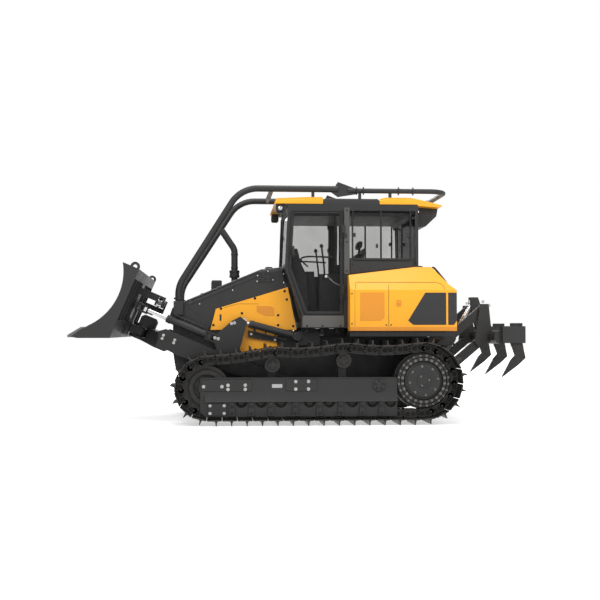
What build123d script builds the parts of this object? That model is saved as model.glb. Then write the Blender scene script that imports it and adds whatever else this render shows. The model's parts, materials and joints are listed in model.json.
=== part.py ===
"""Crawler dozer with a six-way blade, canopy sweeps and a rear ripper.

Millimetres. +X points to the blade, +Y to the operator's left, +Z up.
The origin is on the ground, midway along the machine and on its centre line.
"""
import os
from math import asin, atan2, cos, hypot, radians, sin, tan

from build123d import *

os.makedirs("parts", exist_ok=True)

# ---------------------------------------------------------------- driving dimensions
# Tracks
track_gauge = 2000
shoe_width = 600
shoe_pitch = 190.5
shoe_thickness = 12
grouser_height = 62
grouser_root = 34
grouser_tip = 14
link_height = 115
link_width = 200
idler_x = 1226
idler_radius = 275
sprocket_x = -1482
sprocket_radius = 357
carrier_radius = 96
carrier_front_x, carrier_front_z = 411, 746
carrier_rear_x, carrier_rear_z = -486, 801
span_sag = 42
idler_sag = 24
carrier_play = 8
shoe_gap = 12
shoe_bedding = 8
grouser_place = 0.62
idler_hub_radius = 70
sprocket_half_width = 60
sprocket_bolt_circle = 311
sprocket_bolts = 24
sprocket_bolt_hole = 9
hub_cover_radius = 224
roller_shaft_radius = 40
roller_radius = 98
roller_x = (797, 553, 309, -50, -293, -584, -835, -1067)

# Track frame
frame_top_z = 584
frame_bottom_z = 396
frame_half_width = 150
frame_front_x, frame_rear_x = 1306, -1150
guard_thickness = 20
guard_bottom_z = 104
guard_band = 105
frame_nose_rise = 60
frame_clearance = 20
roller_window_radius = 75
ledge_reach, ledge_top_z, ledge_foot_z = 42, 410, 290
guard_band_end = 60

# Hull
hull_half_width = 420
belly_z = 450
hull_front_x, hull_rear_x = 1480, -1680
hull_front_top_z = 894
deck_z = 1168
deck_bottom_z = 1096

# Engine hood
hood_half_width = 470
hood_wall = 30
panel_thickness = 30
nose_half_width = 485
nose_front_x = 1672

# Cab
cab_half_width = 750
cab_wall = 60
cab_floor_z = 1206
cab_sill_z = 1379
cab_head_z = 2782
cab_roof_z = 2885
cab_rear_x = -1500
door_rear_x = -520
door_gap = 6
glass_thickness = 8
glass_recess = 22

# Rear body
body_half_width = 1000
body_front_x, body_rear_x = -576, -1948
body_shoulder_z = 1690

# Push frame and blade
lift_x, lift_z = 175, 480
ball_x, ball_z = 2125, 1160
lever_y = 605
arm_width = 100
blade_lean = 22.9
blade_half_width = 1600
blade_back = 200
skin_thickness = 40
cutting_edge_thickness = 28
angle_eye_y = 550

# Ripper
ripper_link = 800
ripper_raise = 40
ripper_top_x, ripper_top_z = -1816, 955
ripper_low_x, ripper_low_z = -1744, 497
ripper_half_width = 460
shank_y = (-870, 0, 870)

# Sweeps
sweep_radius = 42

# Hull details
hull_front_rise = 120
hull_step_x = 60
final_drive_radius = 190
equalizer_x, pivot_shaft_x, cross_shaft_z = -180, -900, 500
cross_shaft_radius = 60
pivot_boss_radius, pivot_pin_radius = 120, 45
lift_pin_x, lift_pin_z = 69, 1098
lift_bracket_length, lift_bracket_height = 300, 110
cab_mount_front_x, cab_mount_rear_x, cab_mount_y, cab_mount_radius = -80, -1380, 320, 55
deck_inset = 30
nose_bottom_z = 681
nose_chin = 35
nose_brow_z = 1440
grille_rows, grille_bottom_z, grille_pitch = 9, 760, 66
band_thickness = 27
grille_half_width, grille_depth, grille_inset = 400, 30, 30
band_horn_x, band_horn_z, band_horn = 1714, 1369, 32
band_top_z, band_rear_x = 1496, 1236

# Engine and hood details
engine_rear_x, engine_length, engine_width, engine_height = 230, 1150, 640, 620
hood_front_z = 1579
hood_break_x, hood_break_z = 531, 1980
hood_rear_x, hood_rear_z = 262, 2008
hood_rear_rake = 200
hood_edge_radius = 60
intake_x, intake_half_width, intake_foot_z, intake_top_z = (1040, 1180), 70, 1700, 1850
intake_edge = 12
panel_front_x, panel_bottom_z = 1190, 1181
panel_top_front_x, panel_top_front_z = 1121, 1455
panel_top_rear_x, panel_top_rear_z = 180, 1742
panel_rear_x = 64
panel_skirt_front_x, panel_skirt_rear_x = 830, 320
exhaust_x, exhaust_radius, exhaust_wall = 871, 44, 4
exhaust_bend_z, exhaust_bend_radius = 2270, 150
exhaust_reach, exhaust_top_z = 178, 2533
exhaust_clearance = 2
exhaust_collar_radius, exhaust_collar_height, exhaust_collar_z = 65, 100, 1886

# Cab details
cab_post = 40
cab_pillar = 77
cab_foot_x = 20
cab_waist_x, cab_waist_z = 235, 1975
cab_brow_x = 197
windscreen_z = 2040
side_window_z = 2111
door_frame = 28
hinge_radius, hinge_pin_radius, hinge_half = 22, 12, 50
hinge_z = (1700, 2480)
roof_half_width = 720
roof_overhang = 40
roof_edge_radius = 30
roof_seat_z, cover_top_z = 2812, 2905
front_cover_rear_x, front_cover_tip_x = -262, 370
rear_cover_front_x, tail_tip_x, tail_tip_z = -1000, -1825, 2807
tail_seat_z, tail_foot_z = 2795, 2776
cover_slope = 90
lamp_x, lamp_y, lamp_foot_z = (244, 345), (560, 680), 2700
lamp_lens_radius, lamp_lens_depth, lamp_chamfer = 42, 10, 18
pod_half_width = 560
pod_waist_x, pod_waist_z = -1778, 2681
pod_belly_x, pod_belly_z = -1635, 2545
pod_foot_z = 2525
seat_x, seat_z, seat_half, seat_pedestal = -560, 1680, 250, 180
cushion, back_height, back_rake = 120, 720, 90
console_gap, console_width, console_rise, console_reach = 30, 140, 120, 320
dash_x, dash_depth, dash_lean, dash_z, dash_half_width = -240, 110, 60, 1960, 300

# Body details
body_front_top_z, body_rear_top_z = 1885, 1996
body_knee_x, body_slope_x = -1445, -1666
body_slope_foot_x, body_slope_foot_z = -1864, 1757
body_tumble = 220

# Sweep details
sweep_base_x, sweep_base_y, sweep_base_z = 1602, 520, 1560
sweep_foot, sweep_heel = 60, 90
sweep_knee_z = 1750
sweep_brow_x, sweep_inset, sweep_top_z = 800, 40, 3008
sweep_top_y = roof_half_width - sweep_inset
sweep_rear_x = -456
sweep_bend_radius = 400
sweep_posts, post_half = (-132, -743, -1140), 20
joint_rise, joint_length, joint_thickness = 95, 260, 10
hoop_z, hoop_radius, hoop_rear_x, hoop_bend_radius = 2990, 32, -1890, 250

# Push frame details
arm_root, arm_boss_radius = 95, 110
arm_bend_x, arm_bend_z = 1061, 896
arm_front_x, arm_front_z, arm_nose, arm_front_depth = 1850, 1194, 95, 214
arm_knee_x, arm_knee_z = 1617, 859
eye_radius, eye_width = 55, 56
clevis_plate = 20
clevis_half = 54
lever_front_x, lever_back_x, lever_foot_z, lever_top_z = 1090, 803, 850, 1354
lever_depth, lever_lip, lever_plate = 110, 60, 14
lever_pin_z = 1090
lift_head_x, lift_head_z = 773, 1283
nose_root_x, nose_beam, nose_lug_radius, nose_half_depth = -420, 130, 130, 100
tower_back_x, tower_front_x, tower_top_z, tower_half_width, tower_edge = -165, 60, 235, 120, 35
trunnion_radius, trunnion_half, trunnion_face_radius = 95, 54, 125
angle_foot_x, angle_eye_x, angle_z = -879, 30, 306
beam_z, beam_height, beam_depth = 360, 108, 22
tilt_x, tilt_y, tilt_z, tilt_seat_z, tilt_bracket = -104, 360, 454, 390, 90

# Blade details
blade_top_z, blade_foot_z = 727, -166
face_top_x, face_mid_x, face_mid_z = 411, 304, 330
face_foot_x, face_foot_z = 489, -125
edge_tip_x, edge_tip_z = 655, -352
skin_foot, edge_start = 100, 72
top_beam_z, low_beam_z, centre_box = 600, 60, 200
rib_places, rib_thickness = (-1200, -800, -400, 400, 800, 1200), 25
face_parts = 8
heel_x, heel_z = 548, -313
lug_x, lug_rise, lug_radius, lug_bore = 255, 9, 57, 25
boss_depth, boss_radius = 50, 120

# Cylinder details
rod_radius, barrel_stroke_room = 25, 8
# how far each rod moves into its barrel from rest
lift_inward, angle_inward, tilt_inward, ripper_inward = 0, 236, 82, 465
lift_barrel, lift_rod, lift_barrel_radius = 640, 470, 47
angle_barrel, angle_rod, angle_barrel_radius = 600, 590, 47
tilt_barrel, tilt_rod = 560, 300
ripper_barrel, ripper_rod, ripper_barrel_radius = 625, 605, 58

# Ripper details
link_thickness, link_half = 60, 58
cheek_inner, cheek_plate = 200, 40
mount_plate, mount_bottom_z, mount_top_z = 50, 380, 1090
ripper_foot_x, ripper_foot_z = -1790, 560
ripper_head_x, ripper_head_z = -2400, 1575
cross_radius = 35
tube_back, tube_drop, tube_radius = 128, 381, 89
pocket_half, pocket_wall, pocket_bottom_z, pocket_top_z = 75, 26, 1013, 1231
shank_half, shank_head = 32, 40
shank_front_x, shank_rear_x = -2676, -2828
shank_throat_x, shank_throat_z = -2733, 853
shank_step_x, shank_step_z = -2680, 796
shank_tip_x, shank_tip_z = -2559, 574
shank_heel_x, shank_heel_z = -2770, 731
shank_knee_x, shank_knee_z = -2868, 822

# Fits
pin_fit = 0.1
seat_gap = 0.3
side_gap = 6
pin_radius = 35
rod_gap = 0.3

# ---------------------------------------------------------------- derived places
track_y = track_gauge / 2
link_line_z = grouser_height + shoe_thickness
idler_z = link_line_z + link_height + idler_radius
sprocket_z = link_line_z + link_height + sprocket_radius
rail_z = link_line_z + link_height
roller_z = rail_z + roller_radius + seat_gap
arm_y = lever_y

lean = radians(blade_lean)
blade_plane = Plane(
    origin=(ball_x, 0, ball_z), x_dir=(cos(lean), 0, sin(lean)), z_dir=(-sin(lean), 0, cos(lean))
)
SIDES = (("left", 1), ("right", -1))


def side_plane(y):
    """Side view plane at distance y to the left: X forward, Z up, extruding to the right."""
    return Plane.XZ.offset(-y)


def save(builder, name):
    """Label a finished sub-part and write its STEP file."""
    builder.part.label = name
    export_step(builder.part, f"parts/{name}.step")


def blade_side_plane(y):
    """Side view of the blade at distance y: local x forward, local z up the lean."""
    return Plane(
        origin=blade_plane.from_local_coords((0, y, 0)), x_dir=blade_plane.x_dir, z_dir=(0, -1, 0)
    )


def span(limits):
    """Start, and length, of a stretch given by its two ends in either order."""
    return min(limits), abs(limits[1] - limits[0])


def block(x, y, z, mode=Mode.ADD):
    """Rectangular block between two places along each axis, in the current part."""
    (x0, dx), (y0, dy), (z0, dz) = span(x), span(y), span(z)
    with Locations((x0, y0, z0)):
        Box(dx, dy, dz, align=(Align.MIN, Align.MIN, Align.MIN), mode=mode)


def plate(outline, y, mode=Mode.ADD, plane=side_plane):
    """Plate with an outline in side view, between two distances y, in the current part."""
    left, width = max(y), abs(y[1] - y[0])
    with BuildSketch(plane(left)) as sketch:
        with BuildLine():
            Polyline(*outline, close=True)
        make_face()
    extrude(sketch.sketch, amount=width, mode=mode)


def disc(centre, radius, y, mode=Mode.ADD, plane=side_plane):
    """Round piece across the machine, between two distances y, in the current part."""
    left, width = max(y), abs(y[1] - y[0])
    with BuildSketch(plane(left)) as sketch:
        with Locations(centre):
            Circle(radius)
    extrude(sketch.sketch, amount=width, mode=mode)


def rod_between(start, end, radius, mode=Mode.ADD):
    """Round bar from one point to another, in the current part."""
    start, end = Vector(start), Vector(end)
    with BuildSketch(Plane(origin=start, z_dir=(end - start).normalized())) as sketch:
        Circle(radius)
    extrude(sketch.sketch, amount=(end - start).length, mode=mode)


# ---------------------------------------------------------------- tracks
idler_wrap = idler_radius + link_height
sprocket_wrap = sprocket_radius + link_height
carrier_seat = carrier_radius + link_height + carrier_play
carrier_front = (carrier_front_x, carrier_front_z + carrier_seat)
carrier_rear = (carrier_rear_x, carrier_rear_z + carrier_seat)

# Each end wheel is left as a tangent to the sagging span beside it.
sprocket_leave = 4 * span_sag / (carrier_rear_x - sprocket_x)
sprocket_top = (
    sprocket_x + sprocket_wrap * sin(sprocket_leave),
    sprocket_z + sprocket_wrap * cos(sprocket_leave),
)
to_idler = (idler_x - carrier_front[0], idler_z - carrier_front[1])
idler_distance = hypot(*to_idler)
idler_leave = -atan2(to_idler[1], to_idler[0]) - asin(idler_wrap / idler_distance)
idler_leave = idler_leave - 4 * idler_sag / idler_distance
idler_top = (
    idler_x + idler_wrap * sin(idler_leave),
    idler_z + idler_wrap * cos(idler_leave),
)


def sagging_span(start, end, sag):
    """Arc from start to end whose middle hangs below the chord."""
    middle = ((start[0] + end[0]) / 2, (start[1] + end[1]) / 2 - sag)
    ThreePointArc(start, middle, end)


with BuildLine() as link_line:
    Line((idler_x, link_line_z), (sprocket_x, link_line_z))
    ThreePointArc(
        (sprocket_x, link_line_z), (sprocket_x - sprocket_wrap, sprocket_z), sprocket_top
    )
    sagging_span(sprocket_top, carrier_rear, span_sag)
    sagging_span(carrier_rear, carrier_front, span_sag)
    sagging_span(carrier_front, idler_top, idler_sag)
    ThreePointArc(idler_top, (idler_x + idler_wrap, idler_z), (idler_x, link_line_z))
link_wire = link_line.wires()[0]
shoe_count = round(link_wire.length / shoe_pitch)
stations = [link_wire.position_at(index / shoe_count) for index in range(shoe_count + 1)]
# 1 when the loop runs anticlockwise in the side view, else -1
loop_turn = 1 if sum(a.X * b.Y - b.X * a.Y for a, b in zip(stations, stations[1:])) > 0 else -1


def loop_outline(profile):
    """Points of a profile repeated over every shoe, each shoe being one chord of the loop."""
    outline = []
    for start, end in zip(stations, stations[1:]):
        along = (end - start).normalized()
        out = Vector(along.Y, -along.X) * loop_turn
        for share, shift, height in profile:
            outline.append(start + along * (share * (end - start).length + shift) + out * height)
    return outline


# columns: share of the pitch, mm added along, height above the link line
shoe_profile = (
    (0, shoe_gap / 2, shoe_gap / 2),
    (0, shoe_gap / 2, shoe_thickness),
    (grouser_place, -grouser_root / 2, shoe_thickness),
    (grouser_place, -grouser_tip / 2, link_line_z),
    (grouser_place, grouser_tip / 2, link_line_z),
    (grouser_place, grouser_root / 2, shoe_thickness),
    (1, -shoe_gap / 2, shoe_thickness),
    (1, -shoe_gap / 2, shoe_gap / 2),
)
shoe_seat = ((0.5, 0, -shoe_bedding),)

for side_name, side in SIDES:
    with BuildPart() as track:
        with BuildSketch(side_plane(side * track_y)):
            with BuildLine():
                Polyline(*loop_outline(shoe_profile), close=True)
            make_face()
            with BuildLine():
                Polyline(*loop_outline(shoe_seat), close=True)
            make_face(mode=Mode.SUBTRACT)
        extrude(amount=shoe_width / 2, both=True)
        with BuildSketch(side_plane(side * track_y)):
            with BuildLine():
                add(link_wire)
            make_face()
            offset(amount=-shoe_gap / 2, mode=Mode.REPLACE)
            offset(amount=-link_height + shoe_gap / 2, mode=Mode.SUBTRACT)
        extrude(amount=link_width / 2, both=True)
    save(track, f"track_{side_name}")

# ---------------------------------------------------------------- idlers, sprockets, rollers
yoke_inner = frame_half_width - guard_thickness
chain_half_width = link_width / 2

with BuildPart() as idlers:
    for side_name, side in SIDES:
        for radius, half_width in (
            (idler_radius - seat_gap, chain_half_width - side_gap),
            (idler_hub_radius, yoke_inner),
        ):
            with BuildSketch(side_plane(side * track_y)):
                with Locations((idler_x, idler_z)):
                    Circle(radius)
            extrude(amount=half_width, both=True)
save(idlers, "idlers")

with BuildPart() as sprockets:
    for side_name, side in SIDES:
        with BuildSketch(side_plane(side * track_y)):
            with Locations((sprocket_x, sprocket_z)):
                Circle(sprocket_radius - seat_gap)
                with PolarLocations(sprocket_bolt_circle, sprocket_bolts):
                    Circle(sprocket_bolt_hole, mode=Mode.SUBTRACT)
        extrude(amount=sprocket_half_width, both=True)
        with BuildSketch(side_plane(side * (track_y + sprocket_half_width))):
            with Locations((sprocket_x, sprocket_z)):
                Circle(hub_cover_radius)
        extrude(amount=-side * (frame_half_width - sprocket_half_width))
save(sprockets, "sprockets")

with BuildPart() as rollers:
    for side_name, side in SIDES:
        for radius, half_width in (
            (roller_radius, chain_half_width - side_gap),
            (roller_shaft_radius, yoke_inner),
        ):
            with BuildSketch(side_plane(side * track_y)):
                with Locations(*((x, roller_z) for x in roller_x)):
                    Circle(radius)
            extrude(amount=half_width, both=True)
save(rollers, "track_rollers")

with BuildPart() as carriers:
    for side_name, side in SIDES:
        with BuildSketch(side_plane(side * (track_y - chain_half_width))):
            with Locations((carrier_front_x, carrier_front_z), (carrier_rear_x, carrier_rear_z)):
                Circle(carrier_radius)
        extrude(amount=-side * (link_width - side_gap))
save(carriers, "carrier_rollers")

# ---------------------------------------------------------------- track frames
box_front_x = idler_x - idler_radius - frame_clearance
box_rear_x = sprocket_x + sprocket_radius + frame_clearance

for side_name, side in SIDES:
    centre = side * track_y
    with BuildPart() as track_frame:
        with BuildSketch(side_plane(centre)):
            with BuildLine():
                Polyline(
                    (box_rear_x, frame_bottom_z),
                    (box_front_x, frame_bottom_z),
                    (box_front_x, frame_top_z),
                    (box_rear_x, frame_top_z),
                    close=True,
                )
            make_face()
        extrude(amount=yoke_inner, both=True)
        for offset_y in (-frame_half_width, yoke_inner):
            with BuildSketch(side_plane(centre + offset_y)):
                with BuildLine():
                    Polyline(
                        (frame_rear_x, frame_top_z),
                        (frame_front_x, frame_top_z),
                        (frame_front_x, guard_bottom_z + frame_nose_rise),
                        (frame_front_x - frame_nose_rise, guard_bottom_z),
                        (frame_rear_x, guard_bottom_z),
                        close=True,
                    )
                make_face()
                with Locations(*((x, frame_bottom_z - guard_band) for x in roller_x)):
                    Circle(roller_window_radius, mode=Mode.SUBTRACT)
            extrude(amount=-guard_thickness)
        with BuildSketch(Plane.YZ.offset(frame_rear_x)):
            outer = centre + side * frame_half_width
            with BuildLine():
                Polyline(
                    (outer - side * guard_thickness, ledge_top_z),
                    (outer, ledge_top_z),
                    (outer + side * ledge_reach, ledge_foot_z),
                    (outer - side * guard_thickness, ledge_foot_z),
                    close=True,
                )
            make_face()
        ledge_length = frame_front_x - guard_band_end - frame_rear_x
        extrude(amount=ledge_length, dir=(1, 0, 0))
        inner_post = centre - side * chain_half_width
        with BuildSketch(side_plane(inner_post)):
            for x, z in ((carrier_front_x, carrier_front_z), (carrier_rear_x, carrier_rear_z)):
                with Locations((x, (z + frame_top_z) / 2)):
                    Rectangle(carrier_radius, z - frame_top_z)
                with Locations((x, z)):
                    Circle(carrier_radius / 2)
        extrude(amount=side * (yoke_inner - chain_half_width))
    save(track_frame, f"track_frame_{side_name}")

# ---------------------------------------------------------------- hull
drive_y = track_y - sprocket_half_width
frame_y = track_y - frame_half_width
boss_y = arm_y - arm_width / 2 - side_gap
lift_lug_y = arm_y - eye_width / 2 - side_gap
bracket_bottom_z = deck_bottom_z - lift_bracket_height
bracket_front_x = hood_rear_x - hood_rear_rake - side_gap
bracket_rear_x = lift_pin_x - lift_bracket_length
deck_half_width = hull_half_width - hood_wall

with BuildPart() as main_frame:
    hull_outline = (
        (hull_rear_x, belly_z),
        (hull_front_x, belly_z + hull_front_rise),
        (hull_front_x, hull_front_top_z),
        (hull_step_x, hull_front_top_z),
        (hull_step_x, deck_bottom_z),
        (hull_rear_x, deck_bottom_z),
    )
    plate(hull_outline, (0, hull_half_width))
    disc((sprocket_x, sprocket_z), final_drive_radius, (0, drive_y))
    disc((equalizer_x, cross_shaft_z), cross_shaft_radius, (0, frame_y))
    disc((pivot_shaft_x, cross_shaft_z), cross_shaft_radius, (0, frame_y))
    disc((lift_x, lift_z), pivot_boss_radius, (0, boss_y))
    disc((lift_x, lift_z), pivot_pin_radius, (0, arm_y + arm_width / 2))
    block((bracket_rear_x, bracket_front_x), (deck_half_width, lift_lug_y), (bracket_bottom_z, deck_z))
    lug_inner_y = hood_half_width + side_gap
    disc((lift_pin_x, lift_pin_z), eye_radius, (lug_inner_y, lift_lug_y))
    disc((lift_pin_x, lift_pin_z), pin_radius, (lug_inner_y, arm_y + eye_width / 2))
    mirror(about=Plane.XZ)
save(main_frame, "main_frame")

with BuildPart() as deck:
    deck_side_y = body_half_width - deck_inset
    block((body_rear_x + deck_inset, body_front_x), (0, deck_side_y), (deck_bottom_z, deck_z))
    block((body_front_x, bracket_front_x), (0, deck_half_width), (deck_bottom_z, deck_z))
    ripper_bay_y = ripper_half_width + 2 * cheek_plate
    block((body_rear_x, hull_rear_x), (0, ripper_bay_y), (deck_bottom_z, deck_z), mode=Mode.SUBTRACT)
    for x in (cab_mount_front_x, cab_mount_rear_x):
        with Locations((x, cab_mount_y, deck_z)):
            Cylinder(cab_mount_radius, cab_floor_z - deck_z, align=(Align.CENTER, Align.CENTER, Align.MIN))
    mirror(about=Plane.XZ)
save(deck, "deck")

# ---------------------------------------------------------------- engine, hood and nose
with BuildPart() as engine_block:
    block(
        (engine_rear_x, engine_rear_x + engine_length),
        (-engine_width / 2, engine_width / 2),
        (hull_front_top_z, hull_front_top_z + engine_height),
    )
save(engine_block, "engine_block")

hood_foot_x = hood_rear_x - hood_rear_rake
exhaust_foot_z = hull_front_top_z + engine_height

with BuildPart() as hood:
    hood_outline = (
        (hood_foot_x, hull_front_top_z),
        (hull_front_x, hull_front_top_z),
        (hull_front_x, hood_front_z),
        (hood_break_x, hood_break_z),
        (hood_rear_x, hood_rear_z),
    )
    hood_inside = (
        (hood_foot_x + hood_wall, hull_front_top_z),
        (hull_front_x - hood_wall, hull_front_top_z),
        (hull_front_x - hood_wall, hood_front_z - hood_wall),
        (hood_break_x, hood_break_z - hood_wall),
        (hood_rear_x + hood_wall, hood_rear_z - hood_wall),
    )
    plate(hood_outline, (-hood_half_width, hood_half_width))
    shoulders = hood.edges().filter_by(lambda edge: edge.center().Z > hood_front_z)
    fillet(shoulders.filter_by(lambda edge: abs(edge.tangent_at(0.5).Y) < 0.5), hood_edge_radius)
    inside_y = hood_half_width - hood_wall
    plate(hood_inside, (-inside_y, inside_y), mode=Mode.SUBTRACT)
    block(intake_x, (-intake_half_width, intake_half_width), (intake_foot_z, intake_top_z))
    intake_top = hood.edges().filter_by(lambda edge: abs(edge.center().Z - intake_top_z) < 1)
    chamfer(intake_top, intake_edge)
    with BuildSketch(Plane.XY.offset(exhaust_foot_z)) as exhaust_hole:
        with Locations((exhaust_x, 0)):
            Circle(exhaust_radius + exhaust_clearance)
    extrude(exhaust_hole.sketch, amount=hood_rear_z - exhaust_foot_z, mode=Mode.SUBTRACT)
save(hood, "hood")

with BuildPart() as side_panels:
    panel_outline = (
        (panel_front_x, panel_bottom_z),
        (panel_top_front_x, panel_top_front_z),
        (panel_top_rear_x, panel_top_rear_z),
        (panel_rear_x, panel_bottom_z),
        (panel_skirt_rear_x, panel_bottom_z),
        (panel_skirt_rear_x, hull_front_top_z),
        (panel_skirt_front_x, hull_front_top_z),
        (panel_skirt_front_x, panel_bottom_z),
    )
    plate(panel_outline, (hood_half_width, hood_half_width + panel_thickness))
    mirror(about=Plane.XZ)
save(side_panels, "side_panels")

sweep_lean = atan2(sweep_top_y - sweep_base_y, sweep_top_z - sweep_base_z)
sweep_foot_z = sweep_base_z - sweep_radius * sin(sweep_lean) - seat_gap

# Plate that shields the hood's side above each angle cylinder; columns: x, z.
guard_band = (
    (band_horn_x, band_horn_z),
    (band_horn_x - band_horn, band_horn_z + 3 * band_horn),
    (nose_front_x - band_horn, band_top_z),
    (hull_front_x + band_horn, band_top_z),
    (band_rear_x - band_horn, panel_bottom_z + 2 * band_horn),
    (band_rear_x, panel_bottom_z - 2 * band_horn),
)

with BuildPart() as nose_guard:
    nose_outline = (
        (hull_front_x, nose_bottom_z),
        (nose_front_x - nose_chin, nose_bottom_z),
        (nose_front_x, hull_front_top_z),
        (nose_front_x, nose_brow_z),
        (hull_front_x, hood_front_z),
    )
    plate(nose_outline, (-nose_half_width, nose_half_width))
    block(
        (nose_front_x - grille_inset, nose_front_x),
        (-grille_half_width, grille_half_width),
        (grille_bottom_z - grille_inset, hood_front_z),
        mode=Mode.SUBTRACT,
    )
    for row in range(grille_rows):
        slot_z = grille_bottom_z + row * grille_pitch
        block(
            (nose_front_x - grille_inset - grille_depth, nose_front_x),
            (-grille_half_width, grille_half_width),
            (slot_z, slot_z + grille_pitch / 2),
            mode=Mode.SUBTRACT,
        )
    for side_name, side in SIDES:
        block(
            (sweep_base_x - sweep_foot, sweep_base_x + sweep_foot),
            (side * (sweep_base_y - sweep_heel), side * (sweep_base_y + sweep_foot)),
            (nose_brow_z - sweep_foot, sweep_foot_z),
        )
        band_y = (side * hood_half_width, side * (hood_half_width + band_thickness))
        plate(guard_band, band_y)
save(nose_guard, "nose_guard")

with BuildPart() as exhaust_stack:
    with BuildLine() as exhaust_line:
        Polyline(
            (exhaust_x, 0, exhaust_foot_z),
            (exhaust_x, 0, exhaust_bend_z),
            (exhaust_x + exhaust_reach, 0, exhaust_top_z),
        )
        fillet(exhaust_line.vertices().sort_by(Axis.Z)[1], exhaust_bend_radius)
    with BuildSketch(Plane.XY.offset(exhaust_foot_z)):
        with Locations((exhaust_x, 0)):
            Circle(exhaust_radius)
            Circle(exhaust_radius - exhaust_wall, mode=Mode.SUBTRACT)
    sweep(path=exhaust_line.wires()[0])
    with BuildSketch(Plane.XY.offset(exhaust_collar_z)):
        with Locations((exhaust_x, 0)):
            Circle(exhaust_collar_radius)
            Circle(exhaust_radius - exhaust_wall, mode=Mode.SUBTRACT)
    extrude(amount=exhaust_collar_height)
save(exhaust_stack, "exhaust_stack")

# ---------------------------------------------------------------- cab
cab_outline = (
    (cab_foot_x, cab_floor_z),
    (cab_foot_x, cab_sill_z),
    (cab_waist_x, cab_waist_z),
    (cab_brow_x, cab_head_z),
    (cab_rear_x, cab_head_z),
    (cab_rear_x, cab_floor_z),
)
cab_inside = (
    (cab_foot_x - cab_post, cab_floor_z + cab_wall),
    (cab_foot_x - cab_post, cab_sill_z),
    (cab_waist_x - cab_post, cab_waist_z),
    (cab_brow_x - cab_post, cab_head_z - cab_wall),
    (cab_rear_x + cab_wall, cab_head_z - cab_wall),
    (cab_rear_x + cab_wall, cab_floor_z + cab_wall),
)
door_opening = (
    (door_rear_x, cab_sill_z),
    (cab_foot_x - cab_post, cab_sill_z),
    (cab_waist_x - cab_post, cab_waist_z),
    (cab_brow_x - cab_post, cab_head_z - cab_wall),
    (door_rear_x, cab_head_z - cab_wall),
)
side_window = (
    (cab_rear_x + cab_post, side_window_z),
    (door_rear_x - cab_pillar, side_window_z),
    (door_rear_x - cab_pillar, cab_head_z - cab_wall),
    (cab_rear_x + cab_post, cab_head_z - cab_wall),
)
inner_y = cab_half_width - cab_wall
hinge_x, hinge_y = door_rear_x, cab_half_width + hinge_radius + 2
window_y = cab_half_width - cab_post

with BuildPart() as cab_frame:
    plate(cab_outline, (-cab_half_width, cab_half_width))
    plate(cab_inside, (-inner_y, inner_y), mode=Mode.SUBTRACT)
    for side_name, side in SIDES:
        for z in hinge_z:
            foot_z = z - hinge_half - side_gap
            with Locations((hinge_x, side * hinge_y, foot_z - hinge_half)):
                up = (Align.CENTER, Align.CENTER, Align.MIN)
                Cylinder(hinge_radius, hinge_half, align=up)
                Cylinder(hinge_pin_radius, 3 * hinge_half, align=up)
            block(
                (hinge_x - 2 * hinge_radius, hinge_x),
                (side * (inner_y + hinge_radius), side * hinge_y),
                (foot_z - hinge_half, foot_z),
            )
        wall_y = (side * (inner_y - cab_wall), side * (cab_half_width + cab_wall))
        plate(door_opening, wall_y, mode=Mode.SUBTRACT)
        plate(side_window, wall_y, mode=Mode.SUBTRACT)
    block(
        (cab_waist_x - 2 * cab_post, nose_front_x),
        (-window_y, window_y),
        (windscreen_z, cab_head_z - cab_wall),
        mode=Mode.SUBTRACT,
    )
    block(
        (cab_rear_x - cab_wall, cab_rear_x + 2 * cab_wall),
        (-window_y, window_y),
        (side_window_z, cab_head_z - cab_wall),
        mode=Mode.SUBTRACT,
    )
save(cab_frame, "cab_frame")

leaf_y = cab_half_width - cab_wall
door_leaf = (
    (door_rear_x + door_gap, cab_sill_z + door_gap),
    (cab_foot_x - cab_post - door_gap, cab_sill_z + door_gap),
    (cab_waist_x - cab_post - door_gap, cab_waist_z),
    (cab_brow_x - cab_post - door_gap, cab_head_z - cab_wall - door_gap),
    (door_rear_x + door_gap, cab_head_z - cab_wall - door_gap),
)
door_pane = (
    (door_rear_x + door_gap + door_frame, cab_sill_z + door_gap + door_frame),
    (cab_foot_x - cab_post - door_gap - door_frame, cab_sill_z + door_gap + door_frame),
    (cab_waist_x - cab_post - door_gap - door_frame, cab_waist_z),
    (cab_brow_x - cab_post - door_gap - door_frame, cab_head_z - cab_wall - door_gap - door_frame),
    (door_rear_x + door_gap + door_frame, cab_head_z - cab_wall - door_gap - door_frame),
)
pane_y = (cab_half_width - glass_recess - glass_thickness, cab_half_width - glass_recess)

for side_name, side in SIDES:
    with BuildPart() as door:
        plate(door_leaf, (side * leaf_y, side * cab_half_width))
        plate(door_pane, (side * leaf_y, side * cab_half_width), mode=Mode.SUBTRACT)
        for z in hinge_z:
            block(
                (hinge_x, door_rear_x + door_gap + door_frame / 2),
                (side * cab_half_width, side * (hinge_y + hinge_radius)),
                (z - hinge_half, z + hinge_half),
            )
            with Locations((hinge_x, side * hinge_y, z)):
                Cylinder(hinge_radius, 2 * hinge_half)
                Cylinder(hinge_pin_radius + pin_fit, 2 * hinge_half, mode=Mode.SUBTRACT)
    save(door, f"door_{side_name}")
    with BuildPart() as door_glass:
        plate(door_pane, (side * pane_y[0], side * pane_y[1]))
    save(door_glass, f"door_glass_{side_name}")

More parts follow.
